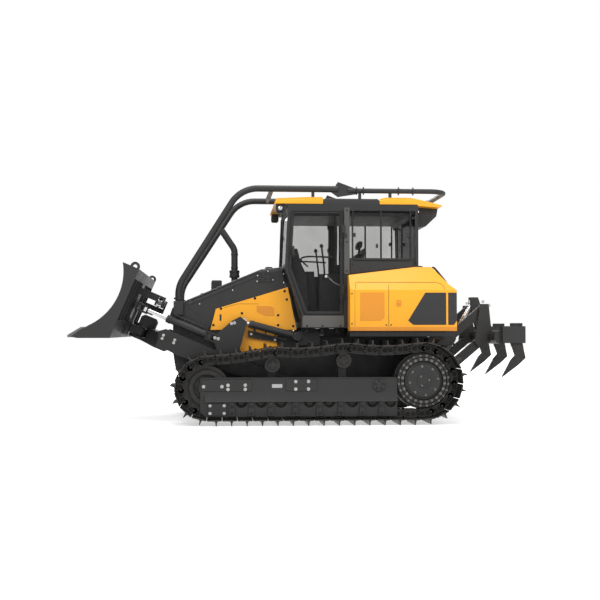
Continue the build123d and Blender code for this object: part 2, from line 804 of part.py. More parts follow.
with BuildPart() as cab_glass:
    plate(side_window, pane_y)
    mirror(about=Plane.XZ)
    block(
        (cab_rear_x + glass_recess, cab_rear_x + glass_recess + glass_thickness),
        (-window_y, window_y),
        (side_window_z, cab_head_z - cab_wall),
    )
    rake = (cab_waist_x - cab_brow_x) / (cab_head_z - cab_waist_z)
    screen_foot_x = cab_waist_x - rake * (windscreen_z - cab_waist_z) - glass_recess
    screen_head_x = cab_brow_x + rake * cab_wall - glass_recess
    windscreen = (
        (screen_foot_x, windscreen_z),
        (screen_head_x, cab_head_z - cab_wall),
        (screen_head_x - glass_thickness, cab_head_z - cab_wall),
        (screen_foot_x - glass_thickness, windscreen_z),
    )
    plate(windscreen, (-window_y, window_y))
save(cab_glass, "cab_glass")

with BuildPart() as cab_roof:
    block(
        (cab_rear_x, cab_brow_x + roof_overhang),
        (-roof_half_width, roof_half_width),
        (cab_head_z, roof_seat_z),
    )
    block(
        (rear_cover_front_x + side_gap, front_cover_rear_x - side_gap),
        (-roof_half_width, roof_half_width),
        (cab_head_z, cab_roof_z),
    )
    fillet(cab_roof.edges().group_by(Axis.Z)[-1], roof_edge_radius)
save(cab_roof, "cab_roof")

with BuildPart() as roof_covers:
    visor = (
        (front_cover_rear_x, roof_seat_z),
        (front_cover_tip_x, roof_seat_z),
        (front_cover_tip_x - roof_edge_radius, cab_roof_z),
        (front_cover_tip_x - 5 * cover_slope, cover_top_z),
        (front_cover_rear_x, cover_top_z),
    )
    plate(visor, (-roof_half_width, roof_half_width))
    tail = (
        (rear_cover_front_x, roof_seat_z),
        (rear_cover_front_x, cab_roof_z),
        (rear_cover_front_x - cover_slope, cover_top_z),
        (cab_rear_x + cover_slope, cover_top_z),
        (tail_tip_x, tail_tip_z),
        (tail_tip_x + roof_edge_radius, tail_foot_z),
        (cab_rear_x, tail_seat_z),
        (cab_rear_x, roof_seat_z),
    )
    plate(tail, (-roof_half_width, roof_half_width))
    ends = roof_covers.edges().filter_by(lambda edge: abs(edge.center().Y) > roof_half_width - 1)
    chamfer(ends.filter_by(lambda edge: edge.center().Z > cab_roof_z - 1), roof_edge_radius)
save(roof_covers, "roof_covers")

with BuildPart() as front_lamps:
    for side_name, side in SIDES:
        block(lamp_x, (side * lamp_y[0], side * lamp_y[1]), (lamp_foot_z, roof_seat_z))
    chamfer(front_lamps.edges().group_by(Axis.Z)[0], lamp_chamfer)
    lens_z = (lamp_foot_z + roof_seat_z) / 2
    for side_name, side in SIDES:
        lens = (lamp_x[1] - lamp_lens_depth, side * (lamp_y[0] + lamp_y[1]) / 2, lens_z)
        rod_between(lens, (lamp_x[1], lens[1], lens_z), lamp_lens_radius, mode=Mode.SUBTRACT)
save(front_lamps, "front_lamps")

with BuildPart() as rear_pod:
    pod = (
        (cab_rear_x, pod_foot_z),
        (cab_rear_x, tail_seat_z),
        (tail_tip_x + roof_edge_radius, tail_foot_z),
        (pod_waist_x, pod_waist_z),
        (pod_belly_x, pod_belly_z),
    )
    plate(pod, (-pod_half_width, pod_half_width))
save(rear_pod, "rear_pod")

# ---------------------------------------------------------------- seat and console
with BuildPart() as seat:
    block(
        (seat_x - seat_pedestal, seat_x + seat_pedestal),
        (-seat_pedestal, seat_pedestal),
        (cab_floor_z + cab_wall, seat_z),
    )
    block((seat_x - seat_half, seat_x + seat_half), (-seat_half, seat_half), (seat_z, seat_z + cushion))
    seat_back = (
        (seat_x - seat_half, seat_z + cushion),
        (seat_x - seat_half + cushion, seat_z + cushion),
        (seat_x - seat_half + cushion - back_rake, seat_z + back_height),
        (seat_x - seat_half - back_rake, seat_z + back_height),
    )
    plate(seat_back, (-seat_half, seat_half))
save(seat, "seat")

with BuildPart() as console:
    block(
        (seat_x - seat_half, seat_x + console_reach),
        (seat_half + console_gap, seat_half + console_gap + console_width),
        (cab_floor_z + cab_wall, seat_z + cushion + console_rise),
    )
    mirror(about=Plane.XZ)
    dash = (
        (dash_x, cab_floor_z + cab_wall),
        (dash_x + dash_depth, cab_floor_z + cab_wall),
        (dash_x + dash_depth + dash_lean, dash_z),
        (dash_x + dash_lean, dash_z),
    )
    plate(dash, (-dash_half_width, dash_half_width))
save(console, "console")

# ---------------------------------------------------------------- canopy sweeps
def sweep_point(x, z):
    """Point of the left sweep: it leans outward evenly with its height."""
    return (x, sweep_base_y + (z - sweep_base_z) * tan(sweep_lean), z)


with BuildPart() as sweeps:
    with BuildLine() as sweep_line:
        Polyline(
            sweep_point(sweep_base_x, sweep_base_z),
            sweep_point(sweep_base_x, sweep_knee_z),
            sweep_point(sweep_brow_x, sweep_top_z),
            sweep_point(sweep_rear_x, sweep_top_z),
        )
        bends = sweep_line.vertices().filter_by(
            lambda corner: corner.Z > sweep_base_z + 1 and corner.X > sweep_rear_x + 1
        )
        fillet(bends, sweep_bend_radius)
    with BuildSketch(Plane(sweep_line.wires()[0] ^ 0)):
        Circle(sweep_radius)
    sweep(path=sweep_line.wires()[0])
    joint_plate = (
        (sweep_rear_x + 2 * sweep_radius, sweep_top_z - sweep_radius),
        (sweep_rear_x, sweep_top_z + joint_rise),
        (sweep_rear_x - joint_length, sweep_top_z),
        (sweep_rear_x - joint_length, hoop_z - sweep_radius),
        (sweep_rear_x, hoop_z - 2 * sweep_radius),
    )
    plate(joint_plate, (sweep_top_y - joint_thickness, sweep_top_y + joint_thickness))
    for x in sweep_posts:
        on_cover = x > front_cover_rear_x or x < rear_cover_front_x
        block(
            (x - post_half, x + post_half),
            (sweep_top_y - post_half / 2, sweep_top_y + post_half / 2),
            (cover_top_z if on_cover else cab_roof_z, sweep_top_z - sweep_radius / 2),
        )
    mirror(about=Plane.XZ)
    with BuildLine(Plane.XY.offset(hoop_z)) as hoop_line:
        hoop_front_x = sweep_rear_x - joint_length / 2
        Polyline(
            (hoop_front_x, sweep_top_y),
            (hoop_rear_x, sweep_top_y),
            (hoop_rear_x, -sweep_top_y),
            (hoop_front_x, -sweep_top_y),
        )
        corners = hoop_line.vertices().filter_by(lambda corner: corner.X < hoop_front_x - 1)
        fillet(corners, hoop_bend_radius)
    with BuildSketch(Plane(hoop_line.wires()[0] ^ 0)):
        Circle(hoop_radius)
    sweep(path=hoop_line.wires()[0])
    rod_between(
        (sweep_brow_x - sweep_bend_radius, -sweep_top_y, sweep_top_z),
        (sweep_brow_x - sweep_bend_radius, sweep_top_y, sweep_top_z),
        hoop_radius,
    )
save(sweeps, "sweeps")

# ---------------------------------------------------------------- rear body
with BuildPart() as rear_body:
    lower_body = (
        (body_front_x, deck_z),
        (body_front_x, body_front_top_z),
        (body_knee_x, body_rear_top_z),
        (body_slope_x, body_rear_top_z),
        (body_slope_foot_x, body_slope_foot_z),
        (body_rear_x, body_shoulder_z),
        (body_rear_x, deck_z),
    )
    plate(lower_body, (0, body_half_width))
    with BuildSketch(Plane.YZ.offset(body_rear_x)) as shoulder:
        with BuildLine():
            Polyline(
                (body_half_width, body_shoulder_z),
                (body_half_width, body_rear_top_z + cab_wall),
                (body_half_width - body_tumble, body_rear_top_z + cab_wall),
                (body_half_width - body_tumble, body_rear_top_z),
                close=True,
            )
        make_face()
    extrude(shoulder.sketch, amount=body_front_x - body_rear_x, mode=Mode.SUBTRACT)
    block(
        (cab_rear_x - side_gap, body_front_x + side_gap),
        (0, cab_half_width + side_gap),
        (deck_z, cab_roof_z),
        mode=Mode.SUBTRACT,
    )
    mirror(about=Plane.XZ)
save(rear_body, "rear_body")

# ---------------------------------------------------------------- push frame
arm_inner, arm_outer = arm_y - arm_width / 2, arm_y + arm_width / 2


def blade_slab(outline, z, mode=Mode.ADD):
    """Slab square to the blade's hinge, between two heights z, in the current part."""
    with BuildSketch(blade_plane.offset(min(z))) as sketch:
        with BuildLine():
            Polyline(*outline, close=True)
        make_face()
    extrude(sketch.sketch, amount=abs(z[1] - z[0]), mode=mode)


def blade_post(radius, centre, z, mode=Mode.ADD):
    """Round post along the blade's hinge, between two heights z, in the current part."""
    with BuildSketch(blade_plane.offset(min(z))) as sketch:
        with Locations(centre):
            Circle(radius)
    extrude(sketch.sketch, amount=abs(z[1] - z[0]), mode=mode)


def blade_block(x, y, z, mode=Mode.ADD):
    """Block square to the blade's hinge, in the current part."""
    blade_slab(((x[0], y[0]), (x[1], y[0]), (x[1], y[1]), (x[0], y[1])), z, mode)


def blade_axle(radius, centre, x, mode=Mode.ADD):
    """Round piece along the blade's own fore-and-aft axis, between two places x."""
    start = blade_plane.from_local_coords((x[0], *centre))
    end = blade_plane.from_local_coords((x[1], *centre))
    rod_between(start, end, radius, mode)


with BuildPart() as push_frame:
    arm_outline = (
        (lift_x, lift_z + arm_root),
        (arm_bend_x, arm_bend_z),
        (arm_front_x - arm_nose, arm_front_z),
        (arm_front_x, arm_front_z - arm_nose / 4),
        (arm_front_x, arm_front_z - arm_front_depth),
        (arm_knee_x, arm_knee_z),
        (lift_x, lift_z - arm_root),
    )
    plate(arm_outline, (arm_inner, arm_outer))
    disc((lift_x, lift_z), arm_boss_radius, (arm_inner, arm_outer))
    disc((lift_x, lift_z), pivot_pin_radius + pin_fit, (arm_inner, arm_outer), mode=Mode.SUBTRACT)
    lever_outline = (
        (lever_front_x, lever_foot_z),
        (lever_front_x + lever_lip, lever_pin_z),
        (lever_back_x + lever_depth, lever_top_z - lever_depth / 2),
        (lever_back_x, lever_top_z),
        (lift_head_x - lever_lip, lift_head_z),
        (lever_back_x, lever_foot_z + lever_depth),
        (lever_back_x, lever_foot_z - lever_lip),
    )
    plate(lever_outline, (arm_inner, arm_inner + lever_plate))
    plate(lever_outline, (arm_outer - lever_plate, arm_outer))
    blade_block(
        (angle_foot_x - lever_depth, angle_foot_x + eye_radius),
        (arm_inner, arm_outer),
        (angle_z - clevis_half, angle_z + clevis_half),
    )
    blade_block(
        (angle_foot_x - eye_radius - side_gap, angle_foot_x + 2 * eye_radius),
        (arm_inner, arm_outer),
        (angle_z - eye_width / 2 - side_gap, angle_z + eye_width / 2 + side_gap),
        mode=Mode.SUBTRACT,
    )
    blade_post(
        pin_radius,
        (angle_foot_x, arm_y),
        (angle_z - clevis_half, angle_z + clevis_half),
    )
    mirror(about=Plane.XZ)
    nose_plan = (
        (nose_root_x, -arm_outer),
        (nose_root_x + nose_beam, -arm_outer),
        (-nose_lug_radius / 2, -nose_lug_radius),
        (0, -nose_lug_radius),
        (0, nose_lug_radius),
        (-nose_lug_radius / 2, nose_lug_radius),
        (nose_root_x + nose_beam, arm_outer),
        (nose_root_x, arm_outer),
    )
    blade_slab(nose_plan, (-nose_half_depth, nose_half_depth))
    blade_post(nose_lug_radius, (0, 0), (-nose_half_depth, nose_half_depth))
    blade_block(
        (-trunnion_radius - side_gap, 2 * nose_lug_radius),
        (-2 * nose_lug_radius, 2 * nose_lug_radius),
        (-trunnion_half - side_gap, trunnion_half + side_gap),
        mode=Mode.SUBTRACT,
    )
    blade_post(pivot_pin_radius, (0, 0), (-nose_half_depth, nose_half_depth))
    ball_tower = (
        (tower_back_x, nose_half_depth),
        (tower_back_x, tower_top_z - tower_edge),
        (tower_back_x + tower_edge, tower_top_z),
        (tower_front_x - tower_edge, tower_top_z),
        (tower_front_x, tower_top_z - tower_edge),
        (tower_front_x, nose_half_depth),
    )
    tower_y = (-tower_half_width, tower_half_width)
    plate(ball_tower, tower_y, plane=blade_side_plane)
save(push_frame, "push_frame")

# ---------------------------------------------------------------- blade trunnion
face_x = nose_lug_radius + 2 * side_gap
boss_x = blade_back - boss_depth
clevis_in = eye_width / 2 + side_gap
clevis_out = clevis_in + clevis_plate

with BuildPart() as blade_trunnion:
    blade_block((0, face_x), (-trunnion_radius, trunnion_radius), (-trunnion_half, trunnion_half))
    blade_post(trunnion_radius, (0, 0), (-trunnion_half, trunnion_half))
    blade_post(
        pivot_pin_radius + pin_fit, (0, 0), (-trunnion_half, trunnion_half), mode=Mode.SUBTRACT
    )
    column_x = (face_x, boss_x - side_gap)
    blade_axle(trunnion_face_radius, (0, 0), column_x)
    blade_axle(pivot_pin_radius, (0, 0), (face_x, blade_back))
    blade_block(column_x, (-trunnion_radius, trunnion_radius), (0, beam_z))
    blade_block(
        (column_x[0] - beam_depth, column_x[1]),
        (-angle_eye_y - eye_radius, angle_eye_y + eye_radius),
        (beam_z - beam_height, beam_z),
    )
    for side_name, side in SIDES:
        for level in (-1, 1):
            blade_block(
                (angle_eye_x, column_x[1]),
                (side * (angle_eye_y - eye_radius), side * (angle_eye_y + eye_radius)),
                (angle_z + level * clevis_in, angle_z + level * clevis_out),
            )
            blade_post(
                eye_radius,
                (angle_eye_x, side * angle_eye_y),
                (angle_z + level * clevis_in, angle_z + level * clevis_out),
            )
    tilt_lug_y = (-tilt_y - eye_radius, -tilt_y + eye_radius)
    blade_block((tilt_x - clevis_out, column_x[1]), tilt_lug_y, (beam_z - beam_height / 2, tilt_seat_z))
    for face in (-1, 1):
        blade_block(
            (tilt_x + face * clevis_in, tilt_x + face * clevis_out),
            tilt_lug_y,
            (beam_z, tilt_z + eye_radius),
        )
    blade_axle(pin_radius, (-tilt_y, tilt_z), (tilt_x - clevis_out, tilt_x + clevis_out))
save(blade_trunnion, "blade_trunnion")

# ---------------------------------------------------------------- blade
# columns: forward of the ball, up the lean
back_top, back_foot = (blade_back, blade_top_z), (blade_back, blade_foot_z)
face_top, face_middle = (face_top_x, blade_top_z), (face_mid_x, face_mid_z)
face_foot = (face_foot_x, face_foot_z)
edge_run = Vector(edge_tip_x - face_foot_x, edge_tip_z - face_foot_z).normalized()
edge_out = Vector(-edge_run.Y, edge_run.X)
skin_foot_x = face_foot_x + skin_foot * edge_run.X
skin_foot_z = face_foot_z + skin_foot * edge_run.Y


face_line = Edge.make_three_point_arc(Vector(*face_top), Vector(*face_middle), Vector(*face_foot))


def blade_plate(outline, y, mode=Mode.ADD):
    """Plate in the blade's side view, between two distances y, in the current part."""
    plate(outline, y, mode, plane=blade_side_plane)


def face_arcs(back):
    """Arcs of the blade's curved face, or a distance back of it, in the current line."""
    for index in range(face_parts):
        ends = (face_line @ ((index + share) / face_parts) for share in (0, 0.5, 1))
        ThreePointArc(*(Vector(end.X - back, end.Y) for end in ends))


with BuildPart() as blade:
    with BuildSketch(blade_side_plane(blade_half_width)) as skin:
        with BuildLine():
            face_arcs(0)
            Polyline(
                face_foot,
                (skin_foot_x, skin_foot_z),
                (skin_foot_x - skin_thickness, skin_foot_z),
                (face_foot_x - skin_thickness, face_foot_z),
            )
            face_arcs(skin_thickness)
            Line((face_top_x - skin_thickness, blade_top_z), face_top)
        make_face()
    extrude(skin.sketch, amount=2 * blade_half_width)
    beam_front = face_mid_x - skin_thickness / 2
    top_beam = (
        back_top,
        (face_top_x - skin_thickness / 2, blade_top_z),
        (beam_front, top_beam_z),
        (blade_back, top_beam_z),
    )
    blade_plate(top_beam, (-blade_half_width, blade_half_width))
    low_beam = (
        back_foot,
        (face_foot_x - skin_thickness / 2, face_foot_z),
        (beam_front, low_beam_z),
        (blade_back, low_beam_z),
    )
    blade_plate(low_beam, (-blade_half_width, blade_half_width))
    for rib_y in rib_places:
        blade_block(
            (blade_back, beam_front),
            (rib_y - rib_thickness / 2, rib_y + rib_thickness / 2),
            (low_beam_z, top_beam_z),
        )
    for side_name, side in SIDES:
        end_y = (side * (blade_half_width - rib_thickness), side * blade_half_width)
        with BuildSketch(blade_side_plane(max(end_y))) as end_plate:
            with BuildLine():
                face_arcs(0)
                Polyline(
                    face_foot,
                    (edge_tip_x - skin_thickness / 2, edge_tip_z + skin_thickness / 2),
                    (heel_x, heel_z),
                    back_foot,
                    back_top,
                    face_top,
                )
            make_face()
        extrude(end_plate.sketch, amount=rib_thickness)
        lug = (lug_x, blade_top_z + lug_rise)
        disc(lug, lug_radius, end_y, plane=blade_side_plane)
        disc(lug, lug_bore, end_y, mode=Mode.SUBTRACT, plane=blade_side_plane)
    blade_block((blade_back, beam_front), (-centre_box, centre_box), (low_beam_z, top_beam_z))
    blade_axle(boss_radius, (0, 0), (boss_x, blade_back + skin_thickness))
    blade_axle(
        pivot_pin_radius + pin_fit, (0, 0), (boss_x, blade_back + side_gap), mode=Mode.SUBTRACT
    )
    blade_block(
        (tilt_x + clevis_in, blade_back),
        (tilt_y - eye_radius, tilt_y + eye_radius),
        (tilt_z, tilt_z + tilt_bracket),
    )
    for face in (-1, 1):
        blade_block(
            (tilt_x + face * clevis_in, tilt_x + face * clevis_out),
            (tilt_y - eye_radius, tilt_y + eye_radius),
            (tilt_z - eye_radius, tilt_z + tilt_bracket),
        )
    blade_block(
        (tilt_x - clevis_out, blade_back),
        (tilt_y - eye_radius, tilt_y + eye_radius),
        (tilt_z + eye_radius + side_gap, tilt_z + tilt_bracket),
    )
save(blade, "blade")

with BuildPart() as cutting_edge:
    edge_root = (
        face_foot_x + edge_start * edge_run.X + seat_gap * edge_out.X,
        face_foot_z + edge_start * edge_run.Y + seat_gap * edge_out.Y,
    )
    edge_length = hypot(edge_tip_x - edge_root[0], edge_tip_z - edge_root[1])
    edge_outline = [
        (
            edge_root[0] + along * edge_run.X + out * edge_out.X,
            edge_root[1] + along * edge_run.Y + out * edge_out.Y,
        )
        for along, out in (
            (0, 0),
            (edge_length, 0),
            (edge_length - cutting_edge_thickness / 2, cutting_edge_thickness),
            (0, cutting_edge_thickness),
        )
    ]
    blade_plate(edge_outline, (-blade_half_width, blade_half_width))
save(cutting_edge, "cutting_edge")

# ---------------------------------------------------------------- hydraulic cylinders
barrel_start = eye_radius + side_gap


def hydraulic_cylinder(name, plane, length, barrel_length, rod_length, barrel_radius, inward):
    """Barrel and rod as two sub-parts; local x runs from the barrel's pin to the rod's eye."""
    along_x = dict(rotation=(0, 90, 0), align=(Align.CENTER, Align.CENTER, Align.MIN))
    with BuildPart(plane) as barrel:
        Cylinder(eye_radius, eye_width)
        neck = (Align.MIN, Align.CENTER, Align.CENTER)
        Box(barrel_start + seat_gap, 2 * pin_radius, eye_width, align=neck)
        with Locations((barrel_start, 0, 0)):
            Cylinder(barrel_radius, barrel_length - barrel_start, **along_x)
        with Locations((length - rod_length - inward - barrel_stroke_room, 0, 0)):
            Cylinder(rod_radius + rod_gap, barrel_length, mode=Mode.SUBTRACT, **along_x)
        Cylinder(pin_radius + pin_fit, 2 * barrel_radius, mode=Mode.SUBTRACT)
    save(barrel, name.format("barrel"))
    with BuildPart(plane) as rod:
        with Locations((length - rod_length, 0, 0)):
            Cylinder(rod_radius, rod_length, **along_x)
        with Locations((length, 0, 0)):
            Cylinder(eye_radius, eye_width)
    save(rod, name.format("rod"))


def pinned_plane(foot, head, pin_axis):
    """Plane of a cylinder: origin on its foot pin, x towards its head, z along the pins."""
    foot, head = Vector(foot), Vector(head)
    return Plane(origin=foot, x_dir=(head - foot).normalized(), z_dir=pin_axis)


for side_name, side in SIDES:
    foot, head = (lift_pin_x, side * arm_y, lift_pin_z), (lift_head_x, side * arm_y, lift_head_z)
    lift_length = (Vector(head) - Vector(foot)).length
    hydraulic_cylinder(
        "lift_{}_" + side_name, pinned_plane(foot, head, (0, 1, 0)), lift_length,
        lift_barrel, lift_rod, lift_barrel_radius, lift_inward,
    )
    foot = blade_plane.from_local_coords(Vector(angle_foot_x, side * arm_y, angle_z))
    head = blade_plane.from_local_coords(Vector(angle_eye_x, side * angle_eye_y, angle_z))
    hydraulic_cylinder(
        "angle_{}_" + side_name, pinned_plane(foot, head, blade_plane.z_dir), (head - foot).length,
        angle_barrel, angle_rod, angle_barrel_radius, angle_inward,
    )

foot = blade_plane.from_local_coords(Vector(tilt_x, -tilt_y, tilt_z))
head = blade_plane.from_local_coords(Vector(tilt_x, tilt_y, tilt_z))
hydraulic_cylinder(
    "tilt_{}", pinned_plane(foot, head, blade_plane.x_dir), 2 * tilt_y,
    tilt_barrel, tilt_rod, lift_barrel_radius, tilt_inward,
)

# ---------------------------------------------------------------- ripper
raise_angle = radians(ripper_raise)
link_run, link_climb = ripper_link * cos(raise_angle), ripper_link * sin(raise_angle)
mount_top = (ripper_top_x, ripper_top_z)
mount_low = (ripper_low_x, ripper_low_z)
frame_top = (ripper_top_x - link_run, ripper_top_z + link_climb)
frame_low = (ripper_low_x - link_run, ripper_low_z + link_climb)
link_inner = (ripper_half_width - link_thickness, ripper_half_width)
cheek_y = (cheek_inner, link_inner[0] - side_gap)
side_y = (ripper_half_width + side_gap, ripper_half_width + side_gap + cheek_plate)

with BuildPart() as ripper_mount:
    block((hull_rear_x - mount_plate, hull_rear_x), (0, cheek_y[1]), (mount_bottom_z, mount_top_z))
    cheek_outline = (
        (hull_rear_x - mount_plate, mount_bottom_z),
        (ripper_low_x, ripper_low_z - link_half),
        (ripper_low_x - link_half, ripper_low_z),
        (ripper_top_x - link_half, ripper_top_z),
        (ripper_top_x, ripper_top_z + link_half),
        (hull_rear_x - mount_plate, mount_top_z),
    )
    plate(cheek_outline, cheek_y)
    for pin in (mount_top, mount_low):
        disc(pin, pin_radius, (cheek_y[0], link_inner[1]))
    foot_lug = (
        (hull_rear_x - mount_plate, ripper_foot_z + eye_radius),
        (ripper_foot_x, ripper_foot_z + eye_radius),
        (ripper_foot_x - eye_radius, ripper_foot_z),
        (ripper_foot_x, ripper_foot_z - eye_radius),
        (hull_rear_x - mount_plate, ripper_foot_z - eye_radius),
    )
    plate(foot_lug, (clevis_in, clevis_out))
    disc((ripper_foot_x, ripper_foot_z), pin_radius, (0, clevis_out))
    mirror(about=Plane.XZ)
save(ripper_mount, "ripper_mount")

# columns: name, pin on the mount, pin on the frame, place of the cross tube along the link
link_table = (
    ("ripper_upper_link", mount_top, frame_top, 0.15),
    ("ripper_lower_link", mount_low, frame_low, 0.5),
)
for name, start, end, cross_share in link_table:
    across = (link_climb / ripper_link * link_half, link_run / ripper_link * link_half)
    with BuildPart() as link:
        link_outline = (
            (start[0] + across[0], start[1] + across[1]),
            (end[0] + across[0], end[1] + across[1]),
            (end[0] - across[0], end[1] - across[1]),
            (start[0] - across[0], start[1] - across[1]),
        )
        plate(link_outline, link_inner)
        for pin in (start, end):
            disc(pin, link_half, link_inner)
        cross_at = (start[0] - link_run * cross_share, start[1] + link_climb * cross_share)
        disc(cross_at, cross_radius, (0, link_inner[1]))
        for pin in (start, end):
            disc(pin, pin_radius + pin_fit, link_inner, mode=Mode.SUBTRACT)
        mirror(about=Plane.XZ)
    save(link, name)

tube = (frame_top[0] - tube_back, frame_top[1] - tube_drop)

with BuildPart() as ripper_frame:
    side_outline = (
        (frame_top[0] + link_half, frame_top[1] + link_half),
        (frame_top[0] - link_half, frame_top[1] + link_half),
        (tube[0] + tube_radius / 2, tube[1] + 2 * tube_radius),
        (tube[0], tube[1] - tube_radius / 2),
        (frame_low[0], frame_low[1] - link_half),
        (frame_low[0] + link_half, frame_low[1]),
    )
    plate(side_outline, side_y)
    disc(frame_top, link_half, side_y)
    for pin in (frame_top, frame_low):
        disc(pin, pin_radius, (link_inner[0], side_y[1]))
    disc(tube, tube_radius, (0, shank_y[-1]))
    tower_outline = (
        (tube[0] + tube_radius, tube[1]),
        (tube[0] - tube_radius, tube[1]),
        (ripper_head_x - eye_radius, ripper_head_z + eye_radius),
        (ripper_head_x + eye_radius, ripper_head_z + eye_radius),
        (ripper_head_x + eye_radius, ripper_head_z - eye_radius),
    )
    plate(tower_outline, (clevis_in, clevis_out))
    mirror(about=Plane.XZ)
    for y in shank_y:
        pocket_y = (y - pocket_half, y + pocket_half)
        block((shank_front_x + pocket_wall, tube[0]), pocket_y, (pocket_bottom_z, pocket_top_z))
        block(
            (shank_rear_x - pocket_wall, shank_front_x + pocket_wall),
            pocket_y,
            (pocket_bottom_z, pocket_top_z),
        )
    for y in shank_y:
        block(
            (shank_rear_x - seat_gap, shank_front_x + seat_gap),
            (y - shank_half - seat_gap, y + shank_half + seat_gap),
            (pocket_bottom_z, pocket_top_z),
            mode=Mode.SUBTRACT,
        )
save(ripper_frame, "ripper_frame")

with BuildPart() as ripper_shanks:
    shank_outline = (
        (shank_front_x, pocket_top_z + shank_head),
        (shank_front_x, pocket_bottom_z),
        (shank_throat_x, shank_throat_z),
        (shank_step_x, shank_step_z),
        (shank_tip_x, shank_tip_z),
        (shank_heel_x, shank_heel_z),
        (shank_knee_x, shank_knee_z),
        (shank_rear_x, pocket_bottom_z),
        (shank_rear_x, pocket_top_z + shank_head),
    )
    for y in shank_y:
        plate(shank_outline, (y - shank_half, y + shank_half))
save(ripper_shanks, "ripper_shanks")

foot, head = (ripper_foot_x, 0, ripper_foot_z), (ripper_head_x, 0, ripper_head_z)
hydraulic_cylinder(
    "ripper_{}", pinned_plane(foot, head, (0, 1, 0)), (Vector(head) - Vector(foot)).length,
    ripper_barrel, ripper_rod, ripper_barrel_radius, ripper_inward,
)
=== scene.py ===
"""Looks of the crawler dozer: finishes, track shoes, fasteners, glazing, lamps and cab fittings."""
import json
import math

import bmesh
import bpy
from mathutils import Matrix, Vector

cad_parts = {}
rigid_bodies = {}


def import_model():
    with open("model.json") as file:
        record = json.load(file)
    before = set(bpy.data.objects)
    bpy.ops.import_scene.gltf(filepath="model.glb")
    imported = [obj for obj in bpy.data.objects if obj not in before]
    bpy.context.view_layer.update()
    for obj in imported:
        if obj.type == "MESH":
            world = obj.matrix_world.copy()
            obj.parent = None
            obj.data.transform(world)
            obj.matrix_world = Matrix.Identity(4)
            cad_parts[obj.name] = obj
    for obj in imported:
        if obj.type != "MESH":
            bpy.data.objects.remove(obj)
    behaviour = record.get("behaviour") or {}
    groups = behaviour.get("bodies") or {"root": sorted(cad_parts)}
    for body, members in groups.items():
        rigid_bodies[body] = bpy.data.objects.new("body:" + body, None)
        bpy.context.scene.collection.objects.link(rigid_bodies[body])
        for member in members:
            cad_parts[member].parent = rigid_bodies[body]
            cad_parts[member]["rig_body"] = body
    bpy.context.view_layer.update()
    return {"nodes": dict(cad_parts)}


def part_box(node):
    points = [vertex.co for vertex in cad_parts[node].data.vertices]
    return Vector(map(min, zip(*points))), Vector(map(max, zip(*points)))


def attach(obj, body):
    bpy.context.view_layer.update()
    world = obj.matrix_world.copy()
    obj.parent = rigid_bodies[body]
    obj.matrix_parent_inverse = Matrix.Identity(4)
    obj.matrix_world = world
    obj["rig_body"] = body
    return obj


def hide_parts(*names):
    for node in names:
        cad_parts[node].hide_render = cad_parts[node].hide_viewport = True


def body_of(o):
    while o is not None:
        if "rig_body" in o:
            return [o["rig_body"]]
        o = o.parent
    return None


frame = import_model()
nodes = frame["nodes"]
SIDES = (("left", 1), ("right", -1))


# ---------------------------------------------------------------- materials
def mix_shaders(tree, factor, first, second):
    """Output of a mix of two shaders, from the first at 0 to the second at 1."""
    node = tree.nodes.new("ShaderNodeMixShader")
    for socket, value in zip(node.inputs, (factor, first, second)):
        tree.links.new(value, socket)
    return node.outputs[0]


def new_material(name):
    """Empty node material with its output and one Principled shader."""
    material = bpy.data.materials.new(name)
    material.use_nodes = True
    tree = material.node_tree
    tree.nodes.clear()
    output = tree.nodes.new("ShaderNodeOutputMaterial")
    shader = tree.nodes.new("ShaderNodeBsdfPrincipled")
    tree.links.new(shader.outputs[0], output.inputs["Surface"])
    return material, tree, shader


def noise(tree, scale, detail=4.0, stretch=(1, 1, 1)):
    """Noise factor in object space, its grain stretched along the axes."""
    place = tree.nodes.new("ShaderNodeTexCoord")
    mapping = tree.nodes.new("ShaderNodeMapping")
    mapping.inputs["Scale"].default_value = stretch
    texture = tree.nodes.new("ShaderNodeTexNoise")
    texture.inputs["Scale"].default_value = scale
    texture.inputs["Detail"].default_value = detail
    tree.links.new(place.outputs["Object"], mapping.inputs["Vector"])
    tree.links.new(mapping.outputs[0], texture.inputs["Vector"])
    return texture.outputs["Fac"]


def ramp(tree, factor, low, high, stops=(0.35, 0.65)):
    """Colour ramp between two colours or two greys."""
    node = tree.nodes.new("ShaderNodeValToRGB")
    node.color_ramp.elements[0].position, node.color_ramp.elements[1].position = stops
    node.color_ramp.elements[0].color = (*low, 1) if len(low) == 3 else low
    node.color_ramp.elements[1].color = (*high, 1) if len(high) == 3 else high
    tree.links.new(factor, node.inputs[0])
    return node.outputs["Color"]


def grey(value):
    """Grey as a colour."""
    return (value, value, value)


def edge_mask(tree, width):
    """How far the surface turns near an edge: 0 on flats, rising at corners."""
    bevel = tree.nodes.new("ShaderNodeBevel")
    bevel.inputs["Radius"].default_value = width
    bevel.samples = 4
    geometry = tree.nodes.new("ShaderNodeNewGeometry")
    product = tree.nodes.new("ShaderNodeVectorMath")
    product.operation = "DOT_PRODUCT"
    tree.links.new(bevel.outputs[0], product.inputs[0])
    tree.links.new(geometry.outputs["Normal"], product.inputs[1])
    return product.outputs["Value"]


def mix_colour(tree, factor, first, second):
    """Mix of two colours; each is a socket or a plain colour."""
    node = tree.nodes.new("ShaderNodeMix")
    node.data_type = "RGBA"
    for socket, value in ((node.inputs[6], first), (node.inputs[7], second)):
        if isinstance(value, tuple):
            socket.default_value = (*value, 1)
        else:
            tree.links.new(value, socket)
    tree.links.new(factor, node.inputs[0])
    return node.outputs[2]


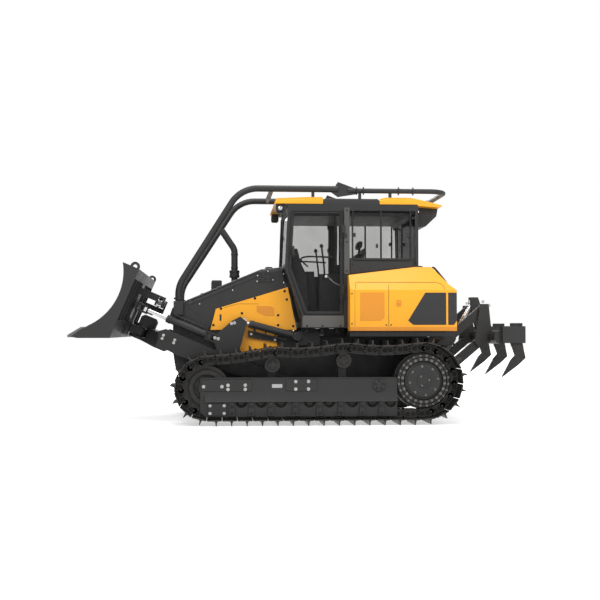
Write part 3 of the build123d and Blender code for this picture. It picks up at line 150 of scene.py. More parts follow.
def add_bump(tree, shader, height, strength, distance):
    """Bump of a height factor on the shader's normal."""
    bump = tree.nodes.new("ShaderNodeBump")
    bump.inputs["Strength"].default_value = strength
    bump.inputs["Distance"].default_value = distance
    tree.links.new(height, bump.inputs["Height"])
    tree.links.new(bump.outputs[0], shader.inputs["Normal"])


def painted(name, colour, shade=0.88, rough=(0.42, 0.58), coat=0.06, worn=None, orange_peel=0.06):
    """Sprayed paint: slow tone changes, orange peel, and edges rubbed to a worn colour."""
    material, tree, shader = new_material(name)
    tone = ramp(tree, noise(tree, 1.7, 3), tuple(c * shade for c in colour), colour, (0.3, 0.7))
    if worn:
        mask = ramp(tree, edge_mask(tree, 0.006), (1, 1, 1), (0, 0, 0), (0.90, 0.985))
        patchy = ramp(tree, noise(tree, 26, 5), (0, 0, 0), (1, 1, 1), (0.5, 0.66))
        both = tree.nodes.new("ShaderNodeMix")
        both.data_type = "RGBA"
        both.blend_type = "MULTIPLY"
        both.inputs[0].default_value = 1
        tree.links.new(mask, both.inputs[6])
        tree.links.new(patchy, both.inputs[7])
        tone = mix_colour(tree, both.outputs[2], tone, worn)
    tree.links.new(tone, shader.inputs["Base Color"])
    tree.links.new(
        ramp(tree, noise(tree, 9, 4), grey(rough[0]), grey(rough[1])), shader.inputs["Roughness"]
    )
    shader.inputs["Coat Weight"].default_value = coat
    shader.inputs["Specular IOR Level"].default_value = 0.35
    shader.inputs["Coat Roughness"].default_value = 0.18
    add_bump(tree, shader, noise(tree, 420, 2), orange_peel, 0.0008)
    return material


def metal(name, colour, shade=0.75, rough=(0.28, 0.5), metallic=1.0, stretch=(1, 1, 1), grain=60):
    """Bare or blued metal with a grain, cloudy tone and uneven gloss."""
    material, tree, shader = new_material(name)
    factor = noise(tree, grain, 6, stretch)
    tone = ramp(tree, noise(tree, 5, 4), tuple(c * shade for c in colour), colour)
    tree.links.new(tone, shader.inputs["Base Color"])
    tree.links.new(ramp(tree, factor, grey(rough[0]), grey(rough[1])), shader.inputs["Roughness"])
    shader.inputs["Metallic"].default_value = metallic
    add_bump(tree, shader, factor, 0.15, 0.0006)
    return material


def cast_steel(name, colour, rubbed):
    """Track steel: dark and matt, rubbed brighter on its edges."""
    material, tree, shader = new_material(name)
    tone = ramp(tree, noise(tree, 14, 6), tuple(c * 0.6 for c in colour), colour, (0.3, 0.7))
    mask = ramp(tree, edge_mask(tree, 0.005), (1, 1, 1), (0, 0, 0), (0.86, 0.985))
    tone = mix_colour(tree, mask, tone, rubbed)
    tree.links.new(tone, shader.inputs["Base Color"])
    tree.links.new(ramp(tree, noise(tree, 22, 5), grey(0.38), grey(0.62)), shader.inputs["Roughness"])
    shader.inputs["Metallic"].default_value = 0.55
    add_bump(tree, shader, noise(tree, 160, 5), 0.3, 0.001)
    return material


def tinted_glass(name, tint):
    """Grey cab glass: clear enough to see the seat through."""
    material, tree, shader = new_material(name)
    tone = ramp(tree, noise(tree, 2, 2), tuple(c * 0.94 for c in tint), tint)
    glass = tree.nodes.new("ShaderNodeBsdfGlossy")
    glass.inputs["Roughness"].default_value = 0.03
    clear = tree.nodes.new("ShaderNodeBsdfTransparent")
    tree.links.new(tone, clear.inputs[0])
    fresnel = tree.nodes.new("ShaderNodeFresnel")
    fresnel.inputs["IOR"].default_value = 1.25
    blend = mix_shaders(tree, fresnel.outputs[0], clear.outputs[0], glass.outputs[0])
    output = next(n for n in tree.nodes if n.type == "OUTPUT_MATERIAL")
    tree.links.new(blend, output.inputs["Surface"])
    tree.nodes.remove(shader)
    return material


def plastic(name, colour, rough=(0.45, 0.6), grain=160, strength=0.06):
    """Moulded plastic or rubber with a fine grain."""
    material, tree, shader = new_material(name)
    tree.links.new(
        ramp(tree, noise(tree, 6, 3), tuple(c * 0.8 for c in colour), colour),
        shader.inputs["Base Color"],
    )
    factor = noise(tree, grain, 3)
    tree.links.new(ramp(tree, factor, grey(rough[0]), grey(rough[1])), shader.inputs["Roughness"])
    add_bump(tree, shader, factor, strength, 0.0008)
    return material


def fabric(name, colour):
    """Woven seat cloth: two crossed bands of thread."""
    material, tree, shader = new_material(name)
    place = tree.nodes.new("ShaderNodeTexCoord")
    heights = []
    for axis in ("X", "Y"):
        wave = tree.nodes.new("ShaderNodeTexWave")
        wave.bands_direction = axis
        wave.inputs["Scale"].default_value = 130
        tree.links.new(place.outputs["Object"], wave.inputs["Vector"])
        heights.append(wave.outputs["Fac"])
    weave = tree.nodes.new("ShaderNodeMath")
    weave.operation = "MULTIPLY"
    tree.links.new(heights[0], weave.inputs[0])
    tree.links.new(heights[1], weave.inputs[1])
    tree.links.new(
        ramp(tree, weave.outputs[0], tuple(c * 0.6 for c in colour), colour, (0.1, 0.8)),
        shader.inputs["Base Color"],
    )
    shader.inputs["Roughness"].default_value = 0.85
    shader.inputs["Sheen Weight"].default_value = 0.3
    add_bump(tree, shader, weave.outputs[0], 0.5, 0.002)
    return material


YELLOW = painted("yellow_paint", (0.93, 0.40, 0.016), shade=0.93, rough=(0.3, 0.42), coat=0.2)
# Darker copy of the yellow paint: painted shade, on the recessed patches, the lower band and the lock plates.
SHADED_YELLOW = painted("shaded_yellow_paint", (0.72, 0.27, 0.02), shade=0.93, rough=(0.3, 0.42), coat=0.2)
CHARCOAL = painted("charcoal_paint", (0.026, 0.026, 0.025), worn=(0.09, 0.088, 0.084))
DARK = painted("dark_paint", (0.022, 0.022, 0.022), worn=(0.10, 0.10, 0.095))
DECAL = painted("decal_film", (0.028, 0.028, 0.029), shade=0.96, rough=(0.3, 0.38), coat=0.1)
TRACK = cast_steel("track_steel", (0.040, 0.038, 0.036), (0.16, 0.15, 0.14))
WEAR = metal("wear_steel", (0.23, 0.225, 0.22), rough=(0.35, 0.6), grain=90)
CHROME = metal("chrome_rod", (0.75, 0.75, 0.76), shade=0.95, rough=(0.06, 0.12), grain=200)
BOLT = metal("zinc_bolt", (0.62, 0.62, 0.60), rough=(0.25, 0.42), grain=150)
BLACK_BOLT = metal("black_bolt", (0.03, 0.03, 0.03), rough=(0.35, 0.5), metallic=0.6)
PLASTIC = plastic("black_plastic", (0.018, 0.018, 0.018))
RUBBER = plastic("rubber_seal", (0.010, 0.010, 0.010), rough=(0.6, 0.8))
SEAT_CLOTH = fabric("seat_cloth", (0.035, 0.035, 0.038))
GLASS = tinted_glass("tinted_glass", (0.83, 0.83, 0.825))
LENS = metal("lamp_reflector", (0.85, 0.85, 0.83), rough=(0.08, 0.2), grain=40)
STEEL_TAG = metal("steel_tag", (0.7, 0.7, 0.7), rough=(0.2, 0.35), grain=50)

FINISHES = {
    YELLOW: ("side_panels", "rear_body", "roof_covers"),
    CHARCOAL: (
        "hood", "nose_guard", "push_frame", "blade_trunnion", "blade", "sweeps", "cab_roof",
        "track_frame_left", "track_frame_right", "rear_pod", "ripper_mount", "ripper_upper_link",
        "ripper_lower_link", "ripper_frame", "exhaust_stack", "lift_barrel_left",
        "lift_barrel_right", "angle_barrel_left", "angle_barrel_right", "tilt_barrel",
        "ripper_barrel",
    ),
    DARK: ("main_frame", "deck", "engine_block", "cab_frame", "door_left", "door_right"),
    TRACK: (
        "track_left", "track_right", "idlers", "sprockets", "track_rollers", "carrier_rollers",
        "ripper_shanks",
    ),
    WEAR: ("cutting_edge",),
    CHROME: (
        "lift_rod_left", "lift_rod_right", "angle_rod_left", "angle_rod_right", "tilt_rod",
        "ripper_rod",
    ),
    GLASS: ("cab_glass", "door_glass_left", "door_glass_right"),
    SEAT_CLOTH: ("seat",),
    PLASTIC: ("console", "front_lamps"),
}
for finish, names in FINISHES.items():
    for name in names:
        if name in nodes:
            node = nodes[name]
            node.data.materials.clear()
            node.data.materials.append(finish)


# ---------------------------------------------------------------- mesh helpers
def finish_object(obj, material, body, bevel=0.0, angle=32, segments=2):
    """Give a piece its material, soft edges and body."""
    obj.data.materials.clear()
    for entry in material if isinstance(material, (list, tuple)) else (material,):
        obj.data.materials.append(entry)
    for polygon in obj.data.polygons:
        polygon.use_smooth = True
    if bevel:
        rounding = obj.modifiers.new("rounding", "BEVEL")
        rounding.width = bevel
        rounding.segments = segments
        rounding.limit_method = "ANGLE"
        rounding.angle_limit = math.radians(angle)
        rounding.harden_normals = False
        normals = obj.modifiers.new("normals", "WEIGHTED_NORMAL")
        normals.keep_sharp = True
    obj.data.set_sharp_from_angle(angle=math.radians(angle))
    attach(obj, body)
    return obj


def make_object(name, mesh_builder, material, body, slot_name, bevel=0.0, angle=32, segments=2):
    """Object from a bmesh that is then freed."""
    bmesh.ops.recalc_face_normals(mesh_builder, faces=mesh_builder.faces)
    mesh = bpy.data.meshes.new(name)
    mesh_builder.to_mesh(mesh)
    mesh_builder.free()
    obj = bpy.data.objects.new(name, mesh)
    bpy.context.collection.objects.link(obj)
    return finish_object(obj, material, body, bevel, angle, segments)


def join_loops(target, lower, upper):
    """Ring of faces between two loops of points."""
    count = len(lower)
    for index in range(count):
        following = (index + 1) % count
        target.faces.new((lower[index], lower[following], upper[following], upper[index]))


def add_prism(target, outline, depth, place=Matrix(), taper=1.0):
    """Closed prism: a 2-D outline in the place's XY, from 0 to depth along its Z."""
    low = [target.verts.new(place @ Vector((x, y, 0))) for x, y in outline]
    high = [target.verts.new(place @ Vector((x * taper, y * taper, depth))) for x, y in outline]
    target.faces.new(low[::-1])
    target.faces.new(high)
    join_loops(target, low, high)


def side_prism(target, outline, y0, y1):
    """Prism of a side-view outline (x, z) between two distances y."""
    add_prism(target, outline, y1 - y0, Matrix(((1, 0, 0, 0), (0, 0, 1, y0), (0, 1, 0, 0), (0, 0, 0, 1))))


def add_block(target, low, high):
    """Rectangular block between two corners."""
    (x0, y0, z0), (x1, y1, z1) = low, high
    side_prism(target, ((x0, z0), (x1, z0), (x1, z1), (x0, z1)), y0, y1)


def circle_points(radius, count, phase=0.0):
    """Points evenly round a circle about the middle, from the phase's angle."""
    return [
        (
            radius * math.cos(phase + 2 * math.pi * index / count),
            radius * math.sin(phase + 2 * math.pi * index / count),
        )
        for index in range(count)
    ]


def facing(point, direction):
    """Place at a point whose Z looks along a direction."""
    return Matrix.Translation(point) @ Vector(direction).to_track_quat("Z", "Y").to_matrix().to_4x4()


def add_bolt(target, point, direction, size=0.018, height=0.012):
    """Hexagon bolt head on its washer."""
    place = facing(point, direction)
    add_prism(target, circle_points(size * 0.72, 20), height * 0.2, place)
    shift = place @ Matrix.Translation((0, 0, height * 0.2))
    add_prism(target, circle_points(size * 0.5, 6, 0.4), height * 0.8, shift, 0.94)


def add_dome(target, point, direction, radius, height, rings=4, count=20):
    """Rounded button: a flat base and a domed top."""
    place = facing(point, direction)
    loops = []
    for ring in range(rings):
        turn = ring / rings * math.pi / 2
        points = circle_points(radius * math.cos(turn), count)
        loops.append(
            [target.verts.new(place @ Vector((x, y, height * math.sin(turn)))) for x, y in points]
        )
    target.faces.new(loops[0][::-1])
    for lower, upper in zip(loops, loops[1:]):
        join_loops(target, lower, upper)
    target.faces.new(loops[-1])


def add_turned(target, profile, place=Matrix(), count=48):
    """Turned piece: a closed profile of (radius, height) swept round the place's Z."""
    loops = []
    for radius, height in profile:
        loops.append(
            [target.verts.new(place @ Vector((x, y, height))) for x, y in circle_points(radius, count)]
        )
    for lower, upper in zip(loops, loops[1:] + loops[:1]):
        join_loops(target, lower, upper)


def add_tube(target, points, radius, count=16, closed_ends=True):
    """Round tube along points, mitred at each."""
    points = [Vector(point) for point in points]
    loops = []
    side = None
    for index, point in enumerate(points):
        before = points[max(index - 1, 0)]
        after = points[min(index + 1, len(points) - 1)]
        along = (after - before).normalized()
        if side is None:
            side = along.orthogonal().normalized()
        side = (side - along * side.dot(along)).normalized()
        cross = along.cross(side)
        widen = 1.0
        if 0 < index < len(points) - 1:
            bend = (point - before).angle(after - point)
            widen = 1 / max(math.cos(bend / 2), 0.5)
        size = radius[index] if isinstance(radius, (list, tuple)) else radius
        loops.append(
            [
                target.verts.new(point + (side * x + cross * y) * (widen * 0.5 + 0.5))
                for x, y in circle_points(size, count)
            ]
        )
    for lower, upper in zip(loops, loops[1:]):
        join_loops(target, lower, upper)
    if closed_ends:
        target.faces.new(loops[0][::-1])
        target.faces.new(loops[-1])


def smooth_points(points, steps=8):
    """Catmull-Rom curve through points, for a hose or bent tube."""
    points = [Vector(point) for point in points]
    ends = [2 * points[0] - points[1]] + points + [2 * points[-1] - points[-2]]
    result = []
    for before, start, end, after in zip(ends, ends[1:], ends[2:], ends[3:]):
        for step in range(steps):
            share = step / steps
            square, cube = share * share, share**3
            result.append(
                0.5
                * (
                    2 * start
                    + (end - before) * share
                    + (2 * before - 5 * start + 4 * end - after) * square
                    + (3 * start - before - 3 * end + after) * cube
                )
            )
    return result + [points[-1]]


def soften(names, width, angle=35):
    """Round the edges of CAD nodes for show: weld, join coplanar faces, bevel, weighted normals."""
    for name in names:
        obj = nodes[name]
        weld = obj.modifiers.new("weld", "WELD")
        weld.merge_threshold = 0.00002
        planar = obj.modifiers.new("planar", "DECIMATE")
        planar.decimate_type = "DISSOLVE"
        planar.angle_limit = math.radians(1.0)
        rounding = obj.modifiers.new("rounding", "BEVEL")
        rounding.width = width
        rounding.segments = 2
        rounding.limit_method = "ANGLE"
        rounding.angle_limit = math.radians(angle)
        normals = obj.modifiers.new("normals", "WEIGHTED_NORMAL")
        normals.keep_sharp = False
        for polygon in obj.data.polygons:
            polygon.use_smooth = True


def body_with(name):
    """Name of the moving body that a CAD node belongs to."""
    return body_of(nodes[name])[0]


# ---------------------------------------------------------------- track loop
# Sizes of the chain in metres, as on the solids that it replaces.
SHOE_PITCH, SHOE_THICKNESS, GROUSER_HEIGHT = 0.1905, 0.012, 0.062
LINK_HEIGHT, LINK_WIDTH, SHOE_WIDTH = 0.115, 0.200, 0.600
SPAN_SAG, IDLER_SAG, CARRIER_PLAY, CARRIER_RADIUS = 0.042, 0.024, 0.008, 0.096
LINK_LINE = GROUSER_HEIGHT + SHOE_THICKNESS
SHOE_TRIM, SHOE_TRIM_REACH = 0.010, 0.03
LINK_INSET, LINK_GAP = 0.040, 0.002
PIN_DEPTH, PIN_PROUD, BUSH_HALF, BUSH_RADIUS = 0.068, 0.012, 0.055, 0.034
SHOE_BOLT_SHARE, SHOE_BOLTS = 0.30, (-0.078, -0.046, 0.046, 0.078)


def three_point_arc(first, middle, last, steps=40):
    """Points of the arc through three points, without the last."""
    (ax, ay), (bx, by), (cx, cy) = first, middle, last
    scale = 2 * (ax * (by - cy) + bx * (cy - ay) + cx * (ay - by))
    first_square, middle_square, last_square = ax**2 + ay**2, bx**2 + by**2, cx**2 + cy**2
    x = (first_square * (by - cy) + middle_square * (cy - ay) + last_square * (ay - by)) / scale
    y = (first_square * (cx - bx) + middle_square * (ax - cx) + last_square * (bx - ax)) / scale
    radius = math.hypot(ax - x, ay - y)
    start, through, end = (
        math.atan2(point[1] - y, point[0] - x) for point in (first, middle, last)
    )
    full = 2 * math.pi
    sweep = (end - start) % full
    if (through - start) % full > sweep:
        sweep -= full
    return [
        (
            x + radius * math.cos(start + sweep * step / steps),
            y + radius * math.sin(start + sweep * step / steps),
        )
        for step in range(steps)
    ]


def hanging(first, last, sag):
    """Arc of a chain that hangs between two points."""
    middle = ((first[0] + last[0]) / 2, (first[1] + last[1]) / 2 - sag)
    return three_point_arc(first, middle, last)


def track_stations():
    """Pin places round the loop, one per shoe, from the wheels' own boxes."""
    idler_low, idler_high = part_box("idlers")
    drive_low, drive_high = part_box("sprockets")
    roller_low, roller_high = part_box("carrier_rollers")
    idler = ((idler_low.x + idler_high.x) / 2, (idler_low.z + idler_high.z) / 2)
    drive = ((drive_low.x + drive_high.x) / 2, (drive_low.z + drive_high.z) / 2)
    idler_wrap = idler[1] - LINK_LINE
    drive_wrap = drive[1] - LINK_LINE
    seat = CARRIER_RADIUS + LINK_HEIGHT + CARRIER_PLAY
    rear = (roller_low.x + CARRIER_RADIUS, roller_high.z - CARRIER_RADIUS + seat)
    front = (roller_high.x - CARRIER_RADIUS, roller_low.z + CARRIER_RADIUS + seat)
    leave = 4 * SPAN_SAG / (rear[0] - drive[0])
    drive_top = (drive[0] + drive_wrap * math.sin(leave), drive[1] + drive_wrap * math.cos(leave))
    run, rise = idler[0] - front[0], idler[1] - front[1]
    reach = math.hypot(run, rise)
    leave = -math.atan2(rise, run) - math.asin(idler_wrap / reach) - 4 * IDLER_SAG / reach
    idler_top = (idler[0] + idler_wrap * math.sin(leave), idler[1] + idler_wrap * math.cos(leave))
    path = [(idler[0], LINK_LINE)]
    path += three_point_arc(
        (drive[0], LINK_LINE), (drive[0] - drive_wrap, drive[1]), drive_top, 200
    )
    path += hanging(drive_top, rear, SPAN_SAG) + hanging(rear, front, SPAN_SAG)
    path += hanging(front, idler_top, IDLER_SAG)
    path += three_point_arc(
        idler_top, (idler[0] + idler_wrap, idler[1]), (idler[0], LINK_LINE), 200
    )
    path.append((idler[0], LINK_LINE))
    lengths = [0.0]
    for start, end in zip(path, path[1:]):
        lengths.append(lengths[-1] + math.dist(start, end))
    count = round(lengths[-1] / SHOE_PITCH)
    places, cursor = [], 0
    for index in range(count):
        wanted = lengths[-1] * index / count
        while lengths[cursor + 1] < wanted:
            cursor += 1
        share = (wanted - lengths[cursor]) / (lengths[cursor + 1] - lengths[cursor])
        start, end = path[cursor], path[cursor + 1]
        places.append((start[0] + share * (end[0] - start[0]), start[1] + share * (end[1] - start[1])))
    return places


stations = track_stations()


def chain_frames():
    """Each shoe's start, direction, outward normal and length."""
    result = []
    for start, end in zip(stations, stations[1:] + stations[:1]):
        start, end = Vector(start), Vector(end)
        along = (end - start).normalized()
        result.append((start, along, Vector((along.y, -along.x)) * LOOP_TURN, (end - start).length))
    return result


# The loop starts under the idler and runs rearwards, so outwards is to its left.
LOOP_TURN = -1 if sum(
    a[0] * b[1] - b[0] * a[1] for a, b in zip(stations, stations[1:])
) < 0 else 1

# Rolled shoe section: share of the pitch, metres along, metres above the link line.
SHOE_SECTION = (
    (0, 0.004, 0.000), (0, 0.002, 0.006), (0, 0.008, 0.0125), (0.34, 0, 0.0115),
    (0.62, -0.021, 0.014), (0.62, -0.011, 0.030), (0.62, -0.006, 0.062), (0.62, -0.003, 0.0735),
    (0.62, 0.006, 0.0735), (0.62, 0.008, 0.062), (0.62, 0.012, 0.030), (0.62, 0.021, 0.014),
    (0.84, 0, 0.0115), (1, -0.008, 0.0125), (1, -0.001, 0.005), (1, -0.004, -0.002),
    (0.90, 0, 0.000), (0.10, 0, 0.000),
)
# Forged link in its side view: share of the pitch, metres along, metres below the link line.
LINK_OUTLINE = (
    (0, 0.014, 0.003), (1, -0.022, 0.003), (1, 0.002, 0.030), (1, 0.018, 0.050),
    (1, 0.024, 0.068), (1, 0.018, 0.090), (1, -0.002, 0.104), (1, -0.030, 0.113),
    (0, 0.026, 0.113), (0, 0.000, 0.104), (0, -0.022, 0.086), (0, -0.024, 0.066),
    (0, -0.012, 0.048), (0, 0.002, 0.030),
)


def place_point(chain_frame, share, shift, height):
    """Point (x, z) on a shoe: share of its pitch, metres along and metres outwards."""
    start, along, out, length = chain_frame
    return start + along * (share * length + shift) + out * height


def build_track(name):
    """Shoes, links, pins and bolts in place of one track's solid."""
    centre = (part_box(name)[0].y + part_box(name)[1].y) / 2
    shoes, links, pins, bolts = (bmesh.new() for _ in range(4))
    half = SHOE_WIDTH / 2
    for chain_frame in chain_frames():
        _, along, out, length = chain_frame
        section = [place_point(chain_frame, *entry) for entry in SHOE_SECTION]
        rows = []
        # The corners of each shoe are cut back at both ends.
        for y in (-half, -half + SHOE_TRIM_REACH, half - SHOE_TRIM_REACH, half):
            trim = SHOE_TRIM if abs(y) == half else 0.0
            rows.append([])
            middle = sum((p.dot(along) for p in section)) / len(section)
            for point in section:
                pulled = point
                if trim:
                    offset = point.dot(along) - middle
                    pulled = point - along * (offset / length * 2 * trim)
                rows[-1].append(shoes.verts.new((pulled.x, centre + y, pulled.y)))
        for first, second in zip(rows, rows[1:]):
            join_loops(shoes, first, second)
        shoes.faces.new(rows[0][::-1])
        shoes.faces.new(rows[-1])
        # Two links, bolted under the shoe, offset in and out along the chain.
        outline = [place_point(chain_frame, share, shift, -depth) for share, shift, depth in LINK_OUTLINE]
        for flank in (-1, 1):
            inner = centre + flank * (LINK_WIDTH / 2 - LINK_INSET)
            outer = centre + flank * (LINK_WIDTH / 2 - LINK_GAP)
            side_prism(links, [tuple(point) for point in outline], min(inner, outer), max(inner, outer))
            lip = centre + flank * (LINK_WIDTH / 2)
            for share in (0.30, 0.66):
                window = place_point(chain_frame, share, 0, -0.052)
                add_bolt(
                    bolts, (window.x, lip - flank * 0.004, window.y), (0, flank, 0), 0.030, 0.010
                )
        pin = place_point(chain_frame, 0, 0, -PIN_DEPTH)
        reach = LINK_WIDTH / 2 + PIN_PROUD
        place = facing((pin.x, centre - reach, pin.y), (0, 1, 0))
        add_turned(
            pins,
            (
                (0.0, 0), (0.017, 0), (0.019, 0.003), (0.019, 2 * reach - 0.003),
                (0.017, 2 * reach), (0.0, 2 * reach),
            ),
            place, 20,
        )
        place = facing((pin.x, centre - BUSH_HALF, pin.y), (0, 1, 0))
        bush = ((0.0, 0), (BUSH_RADIUS, 0), (BUSH_RADIUS, 2 * BUSH_HALF), (0.0, 2 * BUSH_HALF))
        add_turned(pins, bush, place, 24)
        # Four bolts through each shoe: heads outside, beside the grouser.
        for across in SHOE_BOLTS:
            head = place_point(chain_frame, SHOE_BOLT_SHARE, 0, 0.0125)
            add_bolt(bolts, (head.x, centre + across, head.y), (out.x, 0, out.y), 0.026, 0.016)
    body = body_with(name)
    shoe_obj = make_object(f"{name}_shoes", shoes, TRACK, body, "track_steel", 0.0015, 40, 1)
    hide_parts(name)
    make_object(f"{name}_links", links, TRACK, body, "track_steel", 0.003, 40, 1)
    make_object(f"{name}_pins", pins, BLACK_BOLT, body, "track_steel", 0, 40)
    make_object(f"{name}_bolts", bolts, BLACK_BOLT, body, "track_steel", 0, 40)


for side_name, side in SIDES:
    build_track(f"track_{side_name}")


# ---------------------------------------------------------------- soft edges on the CAD nodes
soften(
    (
        "hood", "side_panels", "nose_guard", "rear_body", "roof_covers", "cab_roof", "blade",
        "blade_trunnion", "push_frame", "main_frame", "deck", "rear_pod", "ripper_mount",
        "ripper_upper_link", "ripper_lower_link", "ripper_frame", "ripper_shanks", "cutting_edge",
        "track_frame_left", "track_frame_right", "console", "engine_block",
    ),
    0.005,
)
soften(("cab_frame", "door_left", "door_right", "sweeps"), 0.003)
soften(("idlers", "sprockets", "track_rollers", "carrier_rollers", "exhaust_stack"), 0.004)
soften(
    tuple(
        f"{stem}_{side_name}"
        for stem in ("lift_barrel", "lift_rod", "angle_barrel", "angle_rod")
        for side_name, side in SIDES
    )
    + ("tilt_barrel", "tilt_rod", "ripper_barrel", "ripper_rod"),
    0.003,
)


# ---------------------------------------------------------------- shared small pieces
def chamfered(x0, z0, x1, z1, cut):
    """Rectangle in side view with its four corners cut."""
    return (
        (x0 + cut, z0), (x1 - cut, z0), (x1, z0 + cut), (x1, z1 - cut),
        (x1 - cut, z1), (x0 + cut, z1), (x0, z1 - cut), (x0, z0 + cut),
    )


def mirrored(side, y0, y1):
    """Two distances y on one side of the machine, the lower first."""
    return min(side * y0, side * y1), max(side * y0, side * y1)


def outward(x, y, z, side):
    """Place on one side of the machine, its Z pointing away from the machine."""
    return facing((x, side * y, z), (0, side, 0))


def side_bolts(target, places, side, y, size=0.026, height=0.014):
    """Bolt heads on one side, at places (x, z)."""
    for x, z in places:
        add_bolt(target, (x, side * y, z), (0, side, 0), size, height)


def piece(name, add, forms, *finish):
    """Object of forms of one kind; finish is what make_object takes after the mesh."""
    target = bmesh.new()
    for form in forms:
        add(target, *form)
    return make_object(name, target, *finish)


def side_plates(rows, side_name, side, body):
    """Plates on one flank, a row each: name, material, slot, edge, outlines with their two y."""
    for name, material, slot_name, edge, shapes in rows:
        forms = [(outline, *mirrored(side, y0, y1)) for outline, y0, y1 in shapes]
        piece(f"{name}_{side_name}", side_prism, forms, material, body, slot_name, edge)


# ---------------------------------------------------------------- running gear
FRAME_FACE = 1.150
ROLLER_X = (0.797, 0.553, 0.309, -0.050, -0.293, -0.584, -0.835, -1.067)
ROLLER_Z = 0.287
CARRIERS = ((0.411, 0.746), (-0.486, 0.801))
COVER_BOLTS = (
    (1.265, 0.480), (1.039, 0.480), (0.964, 0.498), (0.751, 0.498), (0.964, 0.446),
    (0.751, 0.446), (0.124, 0.541), (-0.035, 0.541), (0.124, 0.447), (-0.035, 0.447),
)
FRAME_PLATES = (
    (
        "frame_covers", CHARCOAL, "charcoal_paint", 0.003,
        (
            (chamfered(0.668, 0.425, 1.290, 0.569, 0.018), FRAME_FACE, 1.162),
            (chamfered(-0.144, 0.425, 0.247, 0.569, 0.018), FRAME_FACE, 1.162),
            (chamfered(0.980, 0.118, 1.215, 0.276, 0.02), FRAME_FACE, 1.160),
            (chamfered(-1.130, 0.575, 1.280, 0.592, 0.004), 1.120, 1.158),
        ),
    ),
    (
        "frame_tag", STEEL_TAG, "chrome", 0.0008,
        ((chamfered(0.290, 0.463, 0.420, 0.509, 0.006), FRAME_FACE, 1.153),),
    ),
)

